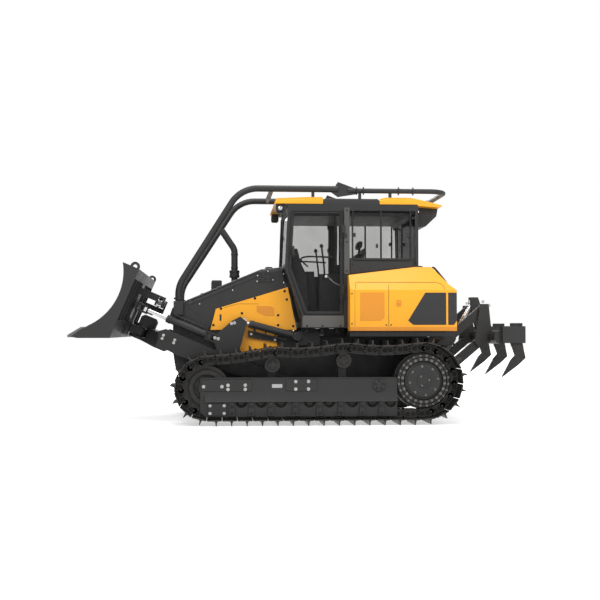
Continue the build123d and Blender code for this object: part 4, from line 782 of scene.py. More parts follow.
for side_name, side in SIDES:
    frame_body = body_with(f"track_frame_{side_name}")
    side_plates(FRAME_PLATES, side_name, side, frame_body)
    bolts = bmesh.new()
    side_bolts(bolts, COVER_BOLTS, side, 1.162, 0.030)
    side_bolts(
        bolts, ((1.010, 0.150), (1.185, 0.150), (1.010, 0.245), (1.185, 0.245)), side, 1.160, 0.028
    )
    make_object(f"frame_bolts_{side_name}", bolts, BOLT, frame_body, "chrome", 0.001)

    ribs = bmesh.new()
    rib_bolts = bmesh.new()
    between = [(first + second) / 2 for first, second in zip(ROLLER_X, ROLLER_X[1:])]
    for x in [0.915] + between:
        outline = ((x - 0.040, 0.112), (x + 0.040, 0.112), (x + 0.026, 0.286), (x - 0.026, 0.286))
        side_prism(ribs, outline, *mirrored(side, FRAME_FACE, 1.178))
        side_bolts(rib_bolts, ((x, 0.150), (x, 0.235)), side, 1.178, 0.028, 0.016)
    for first, second in zip(ROLLER_X, ROLLER_X[1:]):
        x = (first + second) / 2
        side_prism(
            ribs,
            chamfered(second + 0.078, 0.108, first - 0.078, 0.128, 0.004),
            *mirrored(side, FRAME_FACE, 1.166),
        )
    make_object(f"roller_guard_ribs_{side_name}", ribs, CHARCOAL, frame_body, "charcoal_paint", 0.004)
    make_object(
        f"roller_guard_bolts_{side_name}", rib_bolts, BLACK_BOLT, frame_body, "track_steel", 0.001
    )

    pivot_cover = bmesh.new()
    round_place = outward(-0.921, FRAME_FACE, 0.492, side)
    add_turned(
        pivot_cover,
        (
            (0.002, 0), (0.080, 0), (0.080, 0.014), (0.072, 0.020), (0.034, 0.020), (0.030, 0.028),
            (0.002, 0.028),
        ),
        round_place,
    )
    make_object(
        f"pivot_cover_{side_name}", pivot_cover, CHARCOAL, frame_body, "charcoal_paint", 0.002
    )
    pivot_bolts = bmesh.new()
    for x, y in circle_points(0.054, 5, 0.3):
        add_bolt(pivot_bolts, round_place @ Vector((x, y, 0.020)), (0, side, 0), 0.022, 0.012)
    make_object(f"pivot_bolts_{side_name}", pivot_bolts, BLACK_BOLT, frame_body, "track_steel", 0.001)

    caps = bmesh.new()
    for x in ROLLER_X:
        add_turned(
            caps,
            (
                (0.002, -0.02), (0.046, -0.02), (0.046, 0.008), (0.038, 0.016), (0.014, 0.016),
                (0.010, 0.011), (0.002, 0.011),
            ),
            outward(x, 1.120, ROLLER_Z, side),
        )
    make_object(f"roller_caps_{side_name}", caps, TRACK, frame_body, "track_steel", 0.001)
    carrier_caps = bmesh.new()
    carrier_bolts = bmesh.new()
    for x, z in CARRIERS:
        place = outward(x, 1.094, z, side)
        add_turned(
            carrier_caps,
            (
                (0.002, -0.01), (0.064, -0.01), (0.064, 0.006), (0.056, 0.012), (0.030, 0.012),
                (0.026, 0.018), (0.002, 0.018),
            ),
            place,
        )
        for across, up in circle_points(0.044, 4, 0.785):
            add_bolt(carrier_bolts, place @ Vector((across, up, 0.012)), (0, side, 0), 0.016, 0.010)
    make_object(f"carrier_caps_{side_name}", carrier_caps, TRACK, frame_body, "track_steel", 0.001)
    make_object(
        f"carrier_bolts_{side_name}", carrier_bolts, BLACK_BOLT, frame_body, "track_steel", 0.0006
    )

    drive_low, drive_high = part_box("sprockets")
    drive = ((drive_low.x + drive_high.x) / 2, (drive_low.z + drive_high.z) / 2)
    hub_place = outward(drive[0], 1.150, drive[1], side)
    hub = bmesh.new()
    add_turned(
        hub,
        (
            (0.002, -0.02), (0.238, -0.02), (0.238, 0.006), (0.226, 0.018), (0.218, 0.020),
            (0.206, 0.034), (0.150, 0.040), (0.142, 0.036), (0.092, 0.036), (0.086, 0.044),
            (0.050, 0.047), (0.044, 0.052), (0.002, 0.052),
        ),
        hub_place, 72,
    )
    make_object(f"final_drive_cover_{side_name}", hub, CHARCOAL, frame_body, "charcoal_paint", 0.001)
    ring = bmesh.new()
    add_turned(
        ring,
        ((0.244, -0.02), (0.292, -0.02), (0.292, 0.012), (0.286, 0.016), (0.250, 0.016), (0.244, 0.010)),
        hub_place, 72,
    )
    add_turned(
        ring,
        ((0.298, -0.02), (0.332, -0.02), (0.332, 0.008), (0.328, 0.012), (0.298, 0.012)),
        hub_place, 72,
    )
    make_object(f"sprocket_rings_{side_name}", ring, TRACK, frame_body, "track_steel", 0.0015)
    hub_bolts = bmesh.new()
    for radius, count, size, lift in (
        (0.268, 24, 0.026, 0.016), (0.316, 24, 0.020, 0.012), (0.180, 8, 0.022, 0.036),
        (0.066, 3, 0.018, 0.045),
    ):
        for x, y in circle_points(radius, count, 0.13):
            add_bolt(hub_bolts, hub_place @ Vector((x, y, lift)), (0, side, 0), size, 0.014)
    make_object(f"sprocket_bolts_{side_name}", hub_bolts, WEAR, frame_body, "track_steel", 0.0008)

    idler_low, idler_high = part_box("idlers")
    idler = ((idler_low.x + idler_high.x) / 2, (idler_low.z + idler_high.z) / 2)
    idler_place = outward(idler[0], 1.130, idler[1], side)
    idler_cap = bmesh.new()
    add_turned(
        idler_cap,
        (
            (0.002, -0.02), (0.110, -0.02), (0.110, 0.006), (0.098, 0.014), (0.052, 0.014),
            (0.046, 0.020), (0.002, 0.020),
        ),
        idler_place,
    )
    add_turned(
        idler_cap,
        ((0.165, -0.02), (0.225, -0.02), (0.225, 0.004), (0.218, 0.010), (0.172, 0.010), (0.165, 0.004)),
        idler_place,
    )
    make_object(f"idler_cap_{side_name}", idler_cap, TRACK, frame_body, "track_steel", 0.001)


# ---------------------------------------------------------------- hydraulic cylinders
TILT_FOOT, TILT_HEAD = (1.8525, -0.360, 1.5377), (1.8525, 0.360, 1.5377)
BOTH, ONE = [(f"_{side_name}", side) for side_name, side in SIDES], [("", 1)]
# columns: stem of the node's name, foot, head, barrel radius, foot to gland, sides it is on
CYLINDERS = (
    ("angle", (1.1962, 0.605, 1.0998), (2.0336, 0.550, 1.4536), 0.047, 0.600, BOTH),
    ("lift", (0.069, 0.605, 1.098), (0.773, 0.605, 1.283), 0.047, 0.640, BOTH),
    ("tilt", TILT_FOOT, TILT_HEAD, 0.047, 0.560, ONE),
    ("ripper", (-1.790, 0.0, 0.560), (-2.400, 0.0, 1.575), 0.058, 0.625, ONE),
)


def dress_cylinder(foot, head, radius, gland_at, barrel_node, label):
    """Gland, end band, ports and hard line on one barrel."""
    foot, head = Vector(foot), Vector(head)
    along = (head - foot).normalized()
    body = body_with(barrel_node)
    place = facing(foot + along * gland_at, along)
    bands = bmesh.new()
    add_turned(
        bands,
        (
            (radius * 0.80, -0.060), (radius + 0.007, -0.060), (radius + 0.007, -0.034),
            (radius + 0.003, -0.030), (radius + 0.003, -0.006), (radius - 0.002, 0.002),
            (radius * 0.80, 0.002),
        ),
        place, 40,
    )
    rear_place = facing(foot + along * 0.095, along)
    add_turned(
        bands,
        ((radius * 0.8, -0.012), (radius + 0.004, -0.012), (radius + 0.004, 0.014), (radius * 0.8, 0.014)),
        rear_place, 40,
    )
    make_object(f"{label}_bands", bands, CHARCOAL, body, "charcoal_paint", 0.0012)
    up = (Vector((0, 0, 1)) - along * along.z).normalized()
    if abs(along.z) > 0.85:
        up = (Vector((-1, 0, 0)) + along * along.x).normalized()
    if label.startswith("lift"):
        up = -up
    line = bmesh.new()
    start = foot + along * 0.125
    finish = foot + along * (gland_at - 0.085)
    points = [
        start + up * (radius + 0.004), start + up * (radius + 0.028),
        start + along * 0.03 + up * (radius + 0.034), finish - along * 0.03 + up * (radius + 0.034),
        finish + up * (radius + 0.028), finish + up * (radius - 0.002),
    ]
    add_tube(line, smooth_points(points, 5), 0.009, 12)
    make_object(f"{label}_line", line, PLASTIC, body, "dark_plastic")
    ports = bmesh.new()
    for spot in (start, finish):
        add_prism(ports, circle_points(0.020, 6), 0.026, facing(spot + up * (radius - 0.004), up), 0.92)
    for share in (0.35, 0.65):
        spot = start + (finish - start) * share
        add_prism(ports, circle_points(0.014, 4, 0.785), 0.036, facing(spot + up * (radius - 0.003), up))
    make_object(f"{label}_ports", ports, BLACK_BOLT, body, "track_steel", 0.001)


for stem, (fx, fy, fz), (hx, hy, hz), radius, gland_at, places in CYLINDERS:
    for suffix, side in places:
        dress_cylinder(
            (fx, side * fy, fz), (hx, side * hy, hz), radius, gland_at,
            f"{stem}_barrel{suffix}", f"{stem}{suffix}",
        )


# ---------------------------------------------------------------- hood, side panels and nose
# Dark brown-orange line colour: real seams on the rear body, and painted shade along the side panel's crease.
SEAM_AND_CREASE_SHADE = plastic("seam_and_crease_shade", (0.10, 0.045, 0.006), grain=120, strength=0.05)
HOOD_FACE, PANEL_FACE = 0.470, 0.500
PANEL_BOLTS = (
    (0.224, 1.690), (0.195, 1.580), (0.610, 1.594), (1.052, 1.459), (1.150, 1.245),
    (0.308, 1.375), (0.308, 1.245), (0.110, 1.232), (0.780, 1.400), (0.470, 1.225),
)
PATCH = (
    (0.587, 1.494), (0.410, 1.494), (0.361, 1.470), (0.361, 1.367), (0.470, 1.367), (0.587, 1.420),
)
VENT = (
    (0.595, 1.836), (0.592, 1.900), (0.575, 1.938), (0.440, 1.966), (0.400, 1.918),
    (0.352, 1.868), (0.372, 1.812), (0.580, 1.800),
)
SLATS = [
    ((0.400 + 0.008 * step, low), (0.560, low), (0.560, low + 0.008), (0.400 + 0.008 * step, low + 0.008))
    for step, low in ((step, 1.826 + 0.021 * step) for step in range(6))
]
# The rails follow the hood's top edge from the nose to the break.
HOOD_PLATES = (
    # The patch is in the darkened yellow: painted shade on the recessed part of the panel.
    ("panel_patch", SHADED_YELLOW, "yellow_paint", 0.0012, ((PATCH, PANEL_FACE, 0.5035),)),
    (
        "panel_slot", PLASTIC, "dark_plastic", 0.001,
        (
            (chamfered(1.046, 1.300, 1.070, 1.386, 0.005), PANEL_FACE, 0.503),
            (chamfered(0.500, 1.224, 0.512, 1.228, 0.001), PANEL_FACE, 0.502),
        ),
    ),
    (
        "hood_vents", DARK, "charcoal_paint", 0.0015,
        [(VENT, HOOD_FACE, 0.477)] + [(slat, 0.474, 0.484) for slat in SLATS],
    ),
    (
        "hood_rails", CHARCOAL, "charcoal_paint", 0.003,
        [
            (
                (
                    (1.440, 1.596 + lift), (0.560, 1.968 + lift), (0.560, 1.968 + drop),
                    (1.440, 1.596 + drop),
                ),
                0.470, outer,
            )
            for lift, drop, outer in ((-0.030, -0.012, 0.482), (-0.085, -0.070, 0.478))
        ],
    ),
    (
        "hose_guard", DARK, "charcoal_paint", 0.006,
        ((((0.700, 1.176), (0.302, 1.072), (0.316, 1.022), (0.694, 1.088)), 0.502, 0.548),),
    ),
)

for side_name, side in SIDES:
    side_plates(HOOD_PLATES, side_name, side, "machine")
    bolts = bmesh.new()
    for x, z in PANEL_BOLTS:
        place = outward(x, PANEL_FACE, z, side)
        add_prism(bolts, circle_points(0.017, 20), 0.003, place)
        add_dome(bolts, place @ Vector((0, 0, 0.003)), (0, side, 0), 0.012, 0.008)
    make_object(f"panel_bolts_{side_name}", bolts, BLACK_BOLT, "machine", "dark_plastic")
    # Dark line along the panel's crease: painted shade.
    crease = bmesh.new()
    add_tube(
        crease,
        [
            (0.560, side * PANEL_FACE, 1.522), (0.840, side * PANEL_FACE, 1.522),
            (1.010, side * PANEL_FACE, 1.470),
        ],
        0.0022, 8,
    )
    make_object(f"panel_crease_shade_{side_name}", crease, SEAM_AND_CREASE_SHADE, "machine", "yellow_paint")

    screws = bmesh.new()
    for x, z in (
        (0.583, 1.815), (0.575, 1.890), (0.440, 1.950), (0.372, 1.835), (0.232, 1.915),
        (0.232, 1.800), (1.330, 1.520), (0.900, 1.700),
    ):
        y = 0.477 if 0.35 < x < 0.6 else HOOD_FACE
        add_dome(screws, (x, side * y, z), (0, side, 0), 0.011, 0.007)
    make_object(f"hood_screws_{side_name}", screws, BOLT, "machine", "chrome")

    guard_bolts = bmesh.new()
    side_bolts(guard_bolts, ((0.660, 1.128), (0.350, 1.052)), side, 0.548, 0.022, 0.010)
    make_object(f"hose_guard_bolts_{side_name}", guard_bolts, BOLT, "machine", "chrome", 0.0008)

    lever_bolts = bmesh.new()
    for x, z in ((0.916, 1.265), (0.879, 1.272), (1.130, 1.080), (1.088, 1.068)):
        add_bolt(lever_bolts, (x, side * 0.655, z), (0, side, 0), 0.030, 0.014)
    make_object(
        f"lever_bolts_{side_name}", lever_bolts, BOLT, body_with("push_frame"), "chrome", 0.001
    )

# Grille bars and frame on the nose, and the edges of the intake on the hood.
grille = bmesh.new()
for row in range(18):
    low = 0.752 + row * 0.034
    add_prism(
        grille,
        ((-0.385, 0), (0.385, 0), (0.385, 0.008), (-0.385, 0.008)),
        0.020,
        Matrix(((0, 0, 1, 1.640), (1, 0, 0, 0), (0, 1, 0, low), (0, 0, 0, 1))),
    )
for column in range(-3, 4):
    add_block(grille, (1.636, column * 0.110 - 0.005, 0.745), (1.655, column * 0.110 + 0.005, 1.380))
make_object("grille_bars", grille, DARK, "machine", "charcoal_paint", 0.0012)
intake = bmesh.new()
for step in range(4):
    add_block(
        intake, (1.176, -0.052, 1.722 + 0.026 * step), (1.186, 0.052, 1.734 + 0.026 * step)
    )
make_object("intake_louvres", intake, DARK, "machine", "charcoal_paint", 0.0015)
cap_mesh = bmesh.new()
add_turned(
    cap_mesh,
    ((0.002, 0), (0.052, 0), (0.052, 0.012), (0.044, 0.030), (0.016, 0.034), (0.002, 0.034)),
    facing((0.420, 0.300, 1.984), (0.0, 0.0, 1.0)),
)
make_object("filler_cap", cap_mesh, PLASTIC, "machine", "dark_plastic", 0.002)
for index, (x, y) in enumerate(((0.520, -0.320), (1.300, 0.280), (1.300, -0.280))):
    slope = 0.0 if x < 0.531 else (x - 0.531) * (1.980 - 1.579) / (1.480 - 0.531)
    lifting = bmesh.new()
    add_turned(
        lifting,
        ((0.002, -0.004), (0.024, -0.004), (0.024, 0.006), (0.016, 0.012), (0.002, 0.012)),
        facing((x, y, 1.980 - slope), (0.35, 0, 1)),
    )
    make_object(f"hood_plug_{index}", lifting, BLACK_BOLT, "machine", "dark_plastic", 0.001)

# Exhaust: clamp bands round the pipe and the collar.
bands = bmesh.new()
for radius, height in ((0.0475, 2.020), (0.0475, 2.200), (0.0685, 1.905), (0.0685, 1.968)):
    add_turned(
        bands,
        (
            (radius - 0.006, -0.011), (radius, -0.011), (radius + 0.002, 0), (radius, 0.011),
            (radius - 0.006, 0.011),
        ),
        facing((0.871, 0, height), (0, 0, 1)),
        56,
    )
make_object("exhaust_bands", bands, DARK, "machine", "charcoal_paint")


# ---------------------------------------------------------------- cab
SILL_GREY = painted("sill_grey", (0.115, 0.112, 0.104), worn=(0.2, 0.2, 0.19))
POST_GREY = painted("post_grey", (0.075, 0.074, 0.070), worn=(0.16, 0.16, 0.15))
PALE_TAG = plastic("pale_tag", (0.55, 0.55, 0.53), grain=80, strength=0.03)
CAB_FACE = 0.750
# columns: x, z
DOOR_EDGE = ((-0.514, 1.385), (-0.026, 1.385), (0.189, 1.975), (0.151, 2.716), (-0.514, 2.716))
PANE_EDGE = ((-0.486, 1.413), (-0.054, 1.413), (0.161, 1.975), (0.123, 2.688), (-0.486, 2.688))


def loop_tube(target, outline, y, radius, count=10):
    """Seal or bead that follows a closed side-view outline."""
    points = [Vector((x, y, z)) for x, z in outline]
    rounded = []
    total = len(points)
    for index, point in enumerate(points):
        before, after = points[index - 1], points[(index + 1) % total]
        to_before, to_after = (before - point).normalized(), (after - point).normalized()
        cut = 0.035
        first, last = point + to_before * cut, point + to_after * cut
        for step in range(5):
            share = step / 4
            rounded.append(
                first * (1 - share) ** 2 + point * 2 * share * (1 - share) + last * share**2
            )
    add_tube(target, rounded + [rounded[0], rounded[1]], radius, count, False)


# The sill, pillar cover and rear panel stand a little proud of the cab's side.
CAB_PLATES = (
    (
        "cab_sill", SILL_GREY, "grey_paint", 0.004,
        (
            (
                ((-0.530, 1.214), (0.010, 1.214), (0.010, 1.345), (-0.004, 1.366), (-0.530, 1.366)),
                CAB_FACE, 0.764,
            ),
        ),
    ),
    (
        "cab_pillar", POST_GREY, "grey_paint", 0.004,
        ((chamfered(-0.600, 1.900, -0.530, 2.760, 0.006), CAB_FACE, 0.766),),
    ),
    (
        "cab_rear_panel", CHARCOAL, "charcoal_paint", 0.003,
        (
            (
                (
                    (-0.614, 1.905), (-1.440, 2.000), (-1.470, 2.014), (-1.470, 2.070),
                    (-0.614, 2.070),
                ),
                CAB_FACE, 0.758,
            ),
        ),
    ),
    (
        "window_bar", RUBBER, "dark_plastic", 0.002,
        ((chamfered(-1.022, 2.080, -1.000, 2.730, 0.002), 0.734, 0.756),),
    ),
    (
        "window_latches", PLASTIC, "dark_plastic", 0.0015,
        [
            (chamfered(x - 0.014, z - 0.026, x + 0.014, z + 0.026, 0.004), 0.718, 0.748)
            for x, z in ((-0.668, 2.410), (-1.366, 2.410), (-0.960, 2.270))
        ],
    ),
    (
        "deck_tags", PALE_TAG, "grey_paint", 0.0005,
        [
            (chamfered(x0, z0 + 0.030, x1, z1 + 0.030, 0.004), 0.4415, 0.4445)
            for x0, x1, z0, z1 in (
                (0.012, 0.065, 1.095, 1.124), (-0.145, -0.040, 1.060, 1.132),
                (-0.290, -0.222, 1.075, 1.102),
            )
        ],
    ),
)

for side_name, side in SIDES:
    side_plates(CAB_PLATES, side_name, side, "machine")
    door_body = body_with(f"door_{side_name}")
    seal = bmesh.new()
    loop_tube(seal, PANE_EDGE, side * 0.731, 0.010)
    make_object(f"pane_seal_{side_name}", seal, RUBBER, door_body, "dark_plastic")
    trim = bmesh.new()
    loop_tube(trim, DOOR_EDGE, side * 0.755, 0.009)
    make_object(f"door_seal_{side_name}", trim, RUBBER, door_body, "dark_plastic")

    handle = bmesh.new()
    side_prism(
        handle, chamfered(0.112, 2.108, 0.150, 2.260, 0.012), *mirrored(side, 0.768, 0.784)
    )
    grip = smooth_points(
        (
            (0.131, side * 0.780, 2.246), (0.131, side * 0.812, 2.230), (0.130, side * 0.818, 2.184),
            (0.131, side * 0.812, 2.140), (0.131, side * 0.780, 2.122),
        ),
        6,
    )
    add_tube(handle, grip, 0.010, 12)
    make_object(f"door_handle_{side_name}", handle, PLASTIC, door_body, "dark_plastic", 0.002)
    hinge_bits = bmesh.new()
    for z in (1.560, 1.910, 2.320, 2.650):
        side_prism(
            hinge_bits, chamfered(-0.506, z - 0.030, -0.470, z + 0.030, 0.006),
            *mirrored(side, 0.790, 0.799),
        )
        add_bolt(hinge_bits, (-0.488, side * 0.799, z + 0.014), (0, side, 0), 0.014, 0.008)
        add_bolt(hinge_bits, (-0.488, side * 0.799, z - 0.014), (0, side, 0), 0.014, 0.008)
    make_object(f"door_hinge_plates_{side_name}", hinge_bits, BLACK_BOLT, door_body, "dark_plastic", 0.001)
    rail = bmesh.new()
    grab = smooth_points(
        (
            (-0.300, side * 0.735, 1.870), (-0.330, side * 0.700, 1.862), (-0.400, side * 0.690, 1.800),
            (-0.455, side * 0.700, 1.770), (-0.480, side * 0.730, 1.762),
        ),
        8,
    )
    add_tube(rail, grab, 0.009, 12)
    add_dome(rail, (-0.300, side * 0.735, 1.870), (0, side, 0), 0.022, 0.012)
    make_object(f"door_strut_{side_name}", rail, BOLT, door_body, "chrome")

    window_seal = bmesh.new()
    low_z, high_z = 2.085, 2.728
    loop_tube(
        window_seal,
        ((-0.640, low_z), (-0.640, high_z), (-1.395, high_z), (-1.395, low_z)),
        side * 0.752,
        0.011,
    )
    make_object(f"window_seal_{side_name}", window_seal, RUBBER, "machine", "dark_plastic")
    corner_rail = bmesh.new()
    add_tube(
        corner_rail,
        smooth_points(
            (
                (-1.452, side * 0.752, 2.640), (-1.456, side * 0.786, 2.620), (-1.462, side * 0.790, 2.400),
                (-1.464, side * 0.790, 2.150), (-1.462, side * 0.786, 2.060), (-1.460, side * 0.752, 2.046),
            ),
            6,
        ),
        0.011, 12,
    )
    for z in (2.628, 2.058):
        add_bolt(corner_rail, (-1.430, side * 0.751, z), (0, side, 0), 0.022, 0.012)
    make_object(f"rear_rail_{side_name}", corner_rail, CHARCOAL, "machine", "charcoal_paint", 0.001)
    cab_bolts = bmesh.new()
    for x, z in (
        (-0.565, 1.945), (-0.565, 2.320), (-0.565, 2.730), (-0.050, 1.235), (-0.480, 1.235),
        (-0.250, 1.235), (-1.445, 2.030), (-0.640, 2.030),
    ):
        add_dome(
            cab_bolts, (x, side * (0.766 if x == -0.565 else 0.764 if x > -0.5 else 0.758), z),
            (0, side, 0), 0.012, 0.008,
        )
    make_object(f"cab_bolts_{side_name}", cab_bolts, BLACK_BOLT, "machine", "dark_plastic")

    # Front lamp: bezel and bright reflector.
    lamp_place = facing((0.3300, side * 0.620, 2.756), (1, 0, 0))
    bezel = bmesh.new()
    add_turned(
        bezel, (
            (0.036, 0.000), (0.046, 0.000), (0.046, 0.010), (0.043, 0.014), (0.038, 0.014),
            (0.036, 0.010),
        ), lamp_place
    )
    side_prism(
        bezel, chamfered(0.252, 2.716, 0.330, 2.798, 0.010), *mirrored(side, 0.680, 0.690)
    )
    make_object(f"lamp_bezel_{side_name}", bezel, PLASTIC, "machine", "dark_plastic", 0.001)
    reflector = bmesh.new()
    add_turned(
        reflector,
        (
            (0.002, -0.012), (0.014, -0.010), (0.030, 0.000), (0.037, 0.009), (0.037, 0.005),
            (0.028, -0.006), (0.002, -0.016),
        ),
        lamp_place, 40,
    )
    add_dome(reflector, (0.290, side * 0.690, 2.757), (0, side, 0), 0.027, 0.006)
    make_object(f"lamp_reflector_{side_name}", reflector, LENS, "machine", "chrome")

# Wiper on the windscreen.
wiper = bmesh.new()
add_tube(
    wiper,
    smooth_points(
        ((0.232, 0.330, 2.690), (0.252, 0.300, 2.640), (0.258, 0.150, 2.420), (0.256, 0.020, 2.260)),
        6,
    ),
    0.007, 10,
)
add_tube(wiper, [(0.247, 0.090, 2.660), (0.251, -0.020, 2.260), (0.253, -0.060, 2.100)], 0.006, 8)
add_tube(
    wiper,
    smooth_points(
        ((0.225, 0.700, 2.690), (0.262, 0.712, 2.600), (0.266, 0.716, 2.440), (0.240, 0.716, 2.330)),
        6,
    ),
    0.006, 8,
)
make_object("wiper", wiper, PLASTIC, "machine", "dark_plastic")

# Interior: instrument pod, levers, hand rail, arm rests and floor mat.
inside = bmesh.new()
side_prism(
    inside,
    (
        (-0.060, 1.270), (0.020, 1.270), (0.110, 1.600), (0.150, 1.980), (0.120, 2.230),
        (0.060, 2.250), (0.010, 2.050), (-0.060, 1.900), (-0.100, 1.560),
    ),
    0.170, 0.560,
)
side_prism(
    inside,
    (
        (-0.060, 1.270), (0.020, 1.270), (0.080, 1.500), (0.120, 1.900), (0.060, 1.960),
        (-0.030, 1.880), (-0.080, 1.560),
    ),
    -0.560, 0.168,
)
make_object("instrument_pod", inside, PLASTIC, "machine", "dark_plastic", 0.020, 25, 3)
controls = bmesh.new()
for x, y, top in ((-0.300, 0.420, 2.280), (-0.300, -0.420, 2.280)):
    add_tube(
        controls, smooth_points(((x - 0.010, y, 1.880), (x, y, 2.040), (x + 0.030, y, top)), 6),
        0.012, 12,
    )
    add_dome(controls, (x + 0.030, y, top - 0.010), (0.1, 0, 1), 0.026, 0.050)
    add_turned(
        controls, ((0.004, 0), (0.040, 0), (0.030, 0.030), (0.016, 0.060), (0.004, 0.060)),
        facing((x - 0.010, y, 1.860), (0, 0, 1)), 24,
    )
for y in (0.520, -0.520):
    add_tube(
        controls,
        smooth_points(
            (
                (-0.080, y, 2.010), (0.010, y, 2.100), (-0.060, y, 2.140), (-0.240, y, 2.140),
                (-0.420, y, 2.130),
            ),
            8,
        ),
        0.011, 12,
    )
add_tube(
    controls,
    smooth_points(((-0.430, 0.640, 2.660), (-0.440, 0.660, 2.400), (-0.430, 0.650, 1.960)), 8),
    0.014, 12,
)
make_object("control_levers", controls, PLASTIC, "machine", "dark_plastic")
mat = bmesh.new()
for index in range(14):
    add_block(mat, (-0.060 - 0.036 * index - 0.018, -0.560, 1.268), (-0.060 - 0.036 * index, 0.560, 1.274))
make_object("floor_mat", mat, RUBBER, "machine", "dark_plastic", 0.001)
headliner = bmesh.new()
side_prism(
    headliner,
    ((0.140, 2.700), (0.100, 2.660), (-1.360, 2.660), (-1.420, 2.620), (-1.430, 2.712), (0.140, 2.712)),
    -0.660, 0.660,
)
make_object("headliner", headliner, POST_GREY, "machine", "grey_paint", 0.010)


# ---------------------------------------------------------------- rear body
BODY_FACE = 1.000
HOOP_Z = 2.990
# Octagon of the lock plate, in shares of its half width and half height.
LOCK_SHAPE = (
    (-1, -0.7), (-0.7, -1), (0.7, -1), (1, -0.7), (1, 0.7), (0.7, 1), (-0.7, 1), (-1, 0.7),
)
FRONT_DECAL = ((-1.540, 1.657), (-1.808, 1.657), (-1.808, 1.246), (-1.385, 1.246), (-1.318, 1.300))
REAR_DECAL = ((-1.834, 1.657), (-1.946, 1.657), (-1.946, 1.300), (-1.908, 1.246), (-1.834, 1.246))

# The patch and the band are in the darkened yellow: painted shade.
BODY_PLATES = (
    (
        "body_decal", DECAL, "charcoal_paint", 0.0,
        ((FRONT_DECAL, BODY_FACE, 1.0015), (REAR_DECAL, BODY_FACE, 1.0015)),
    ),
    (
        "body_patch", SHADED_YELLOW, "yellow_paint", 0.0012,
        (
            (
                (
                    (-0.705, 1.657), (-1.016, 1.657), (-1.016, 1.340), (-0.968, 1.298),
                    (-0.705, 1.298),
                ),
                BODY_FACE, 1.003,
            ),
        ),
    ),
    (
        "body_band", SHADED_YELLOW, "yellow_paint", 0.003,
        (
            (
                ((-0.580, 1.170), (-1.944, 1.170), (-1.944, 1.222), (-0.580, 1.222)),
                BODY_FACE, 1.004,
            ),
        ),
    ),
)

for side_name, side in SIDES:
    side_plates(BODY_PLATES, side_name, side, "machine")
    seams = bmesh.new()
    for x0, z0, x1, z1 in ((-1.073, 1.224, -1.067, 1.690), (-0.640, 1.224, -0.636, 1.690)):
        side_prism(seams, ((x0, z0), (x1, z0), (x1, z1), (x0, z1)), *mirrored(side, BODY_FACE, 1.0012))
    slope = 0.220 / (1.996 - 1.690)

    def tumbled(x, z):
        return (x, side * (BODY_FACE - (z - 1.690) * slope + 0.001), z)

    add_tube(
        seams,
        [tumbled(-0.650, 1.700), tumbled(-0.650, 1.775), tumbled(-0.662, 1.790), tumbled(-1.700, 1.790),
         tumbled(-1.750, 1.775), tumbled(-1.785, 1.735), tumbled(-1.800, 1.700)],
        0.0028, 8,
    )
    add_tube(seams, [tumbled(-1.070, 1.692), tumbled(-1.070, 1.760)], 0.0026, 8)
    make_object(f"body_seams_{side_name}", seams, SEAM_AND_CREASE_SHADE, "machine", "yellow_paint")
    # The lock plate is in the darkened yellow of the painted shade.
    lock = bmesh.new()
    lock_place = outward(-1.200, BODY_FACE, 1.520, side)
    add_prism(lock, [(x * 0.034, y * 0.044) for x, y in LOCK_SHAPE], 0.004, lock_place)
    add_turned(
        lock, ((0.002, 0.004), (0.018, 0.004), (0.018, 0.008), (0.014, 0.011), (0.002, 0.011)), lock_place, 24
    )
    make_object(f"body_lock_{side_name}", lock, SHADED_YELLOW, "machine", "yellow_paint", 0.001)
    body_bolts = bmesh.new()
    for x, z in ((-0.600, 1.640), (-0.600, 1.260), (-1.100, 1.245), (-1.040, 1.245)):
        add_dome(body_bolts, (x, side * BODY_FACE, z), (0, side, 0), 0.010, 0.006)
    make_object(f"body_bolts_{side_name}", body_bolts, BLACK_BOLT, "machine", "dark_plastic")
    rail = bmesh.new()
    add_tube(
        rail,
        smooth_points(
            ((-1.682, side * 0.700, 1.972), (-1.712, side * 0.700, 1.992), (-1.790, side * 0.700, 1.905),
             (-1.872, side * 0.700, 1.800), (-1.868, side * 0.700, 1.762)),
            6,
        ),
        0.013, 12,
    )
    make_object(f"slope_rail_{side_name}", rail, DARK, "machine", "charcoal_paint")

rear_bits = bmesh.new()
for index in range(9):
    add_block(rear_bits, (-1.9530, -0.520, 1.300 + 0.038 * index), (-1.947, 0.520, 1.320 + 0.038 * index))
make_object("rear_louvres", rear_bits, DARK, "machine", "charcoal_paint", 0.0015)
top_bits = bmesh.new()
add_turned(
    top_bits,
    ((0.002, -0.01), (0.075, -0.01), (0.075, 0.014), (0.062, 0.034), (0.024, 0.040), (0.002, 0.040)),
    facing((-1.560, 0.380, 1.996), (0, 0, 1)),
)
add_block(top_bits, (-1.640, -0.520, 1.990), (-1.600, 0.200, 2.004))
make_object("tank_cap", top_bits, PLASTIC, "machine", "dark_plastic", 0.002)

# ---------------------------------------------------------------- roof, guard rails and rear pod
flanges = bmesh.new()
for side_name, side in SIDES:
    for x in (-0.700, -0.790, -1.250, -1.440):
        add_turned(
            flanges,
            ((0.030, -0.007), (0.052, -0.007), (0.052, 0.007), (0.030, 0.007)),
            facing((x, side * 0.680, HOOP_Z), (1, 0, 0)),
            32,
        )
    for x, y, z in (
        (0.105, 0.500, 2.907), (-0.240, 0.500, 2.907), (-1.230, 0.420, 2.907),
        (-1.560, 0.420, 2.900),
    ):
        add_bolt(flanges, (x, side * y, z - 0.004), (0, 0, 1), 0.026, 0.014)
    foot_place = facing((1.602, side * 0.5205, 1.590), (0, 0, 1))
    add_turned(flanges, ((0.040, -0.010), (0.060, -0.010), (0.060, 0.010), (0.040, 0.010)), foot_place, 32)
make_object("guard_flanges", flanges, DARK, "machine", "charcoal_paint", 0.001)

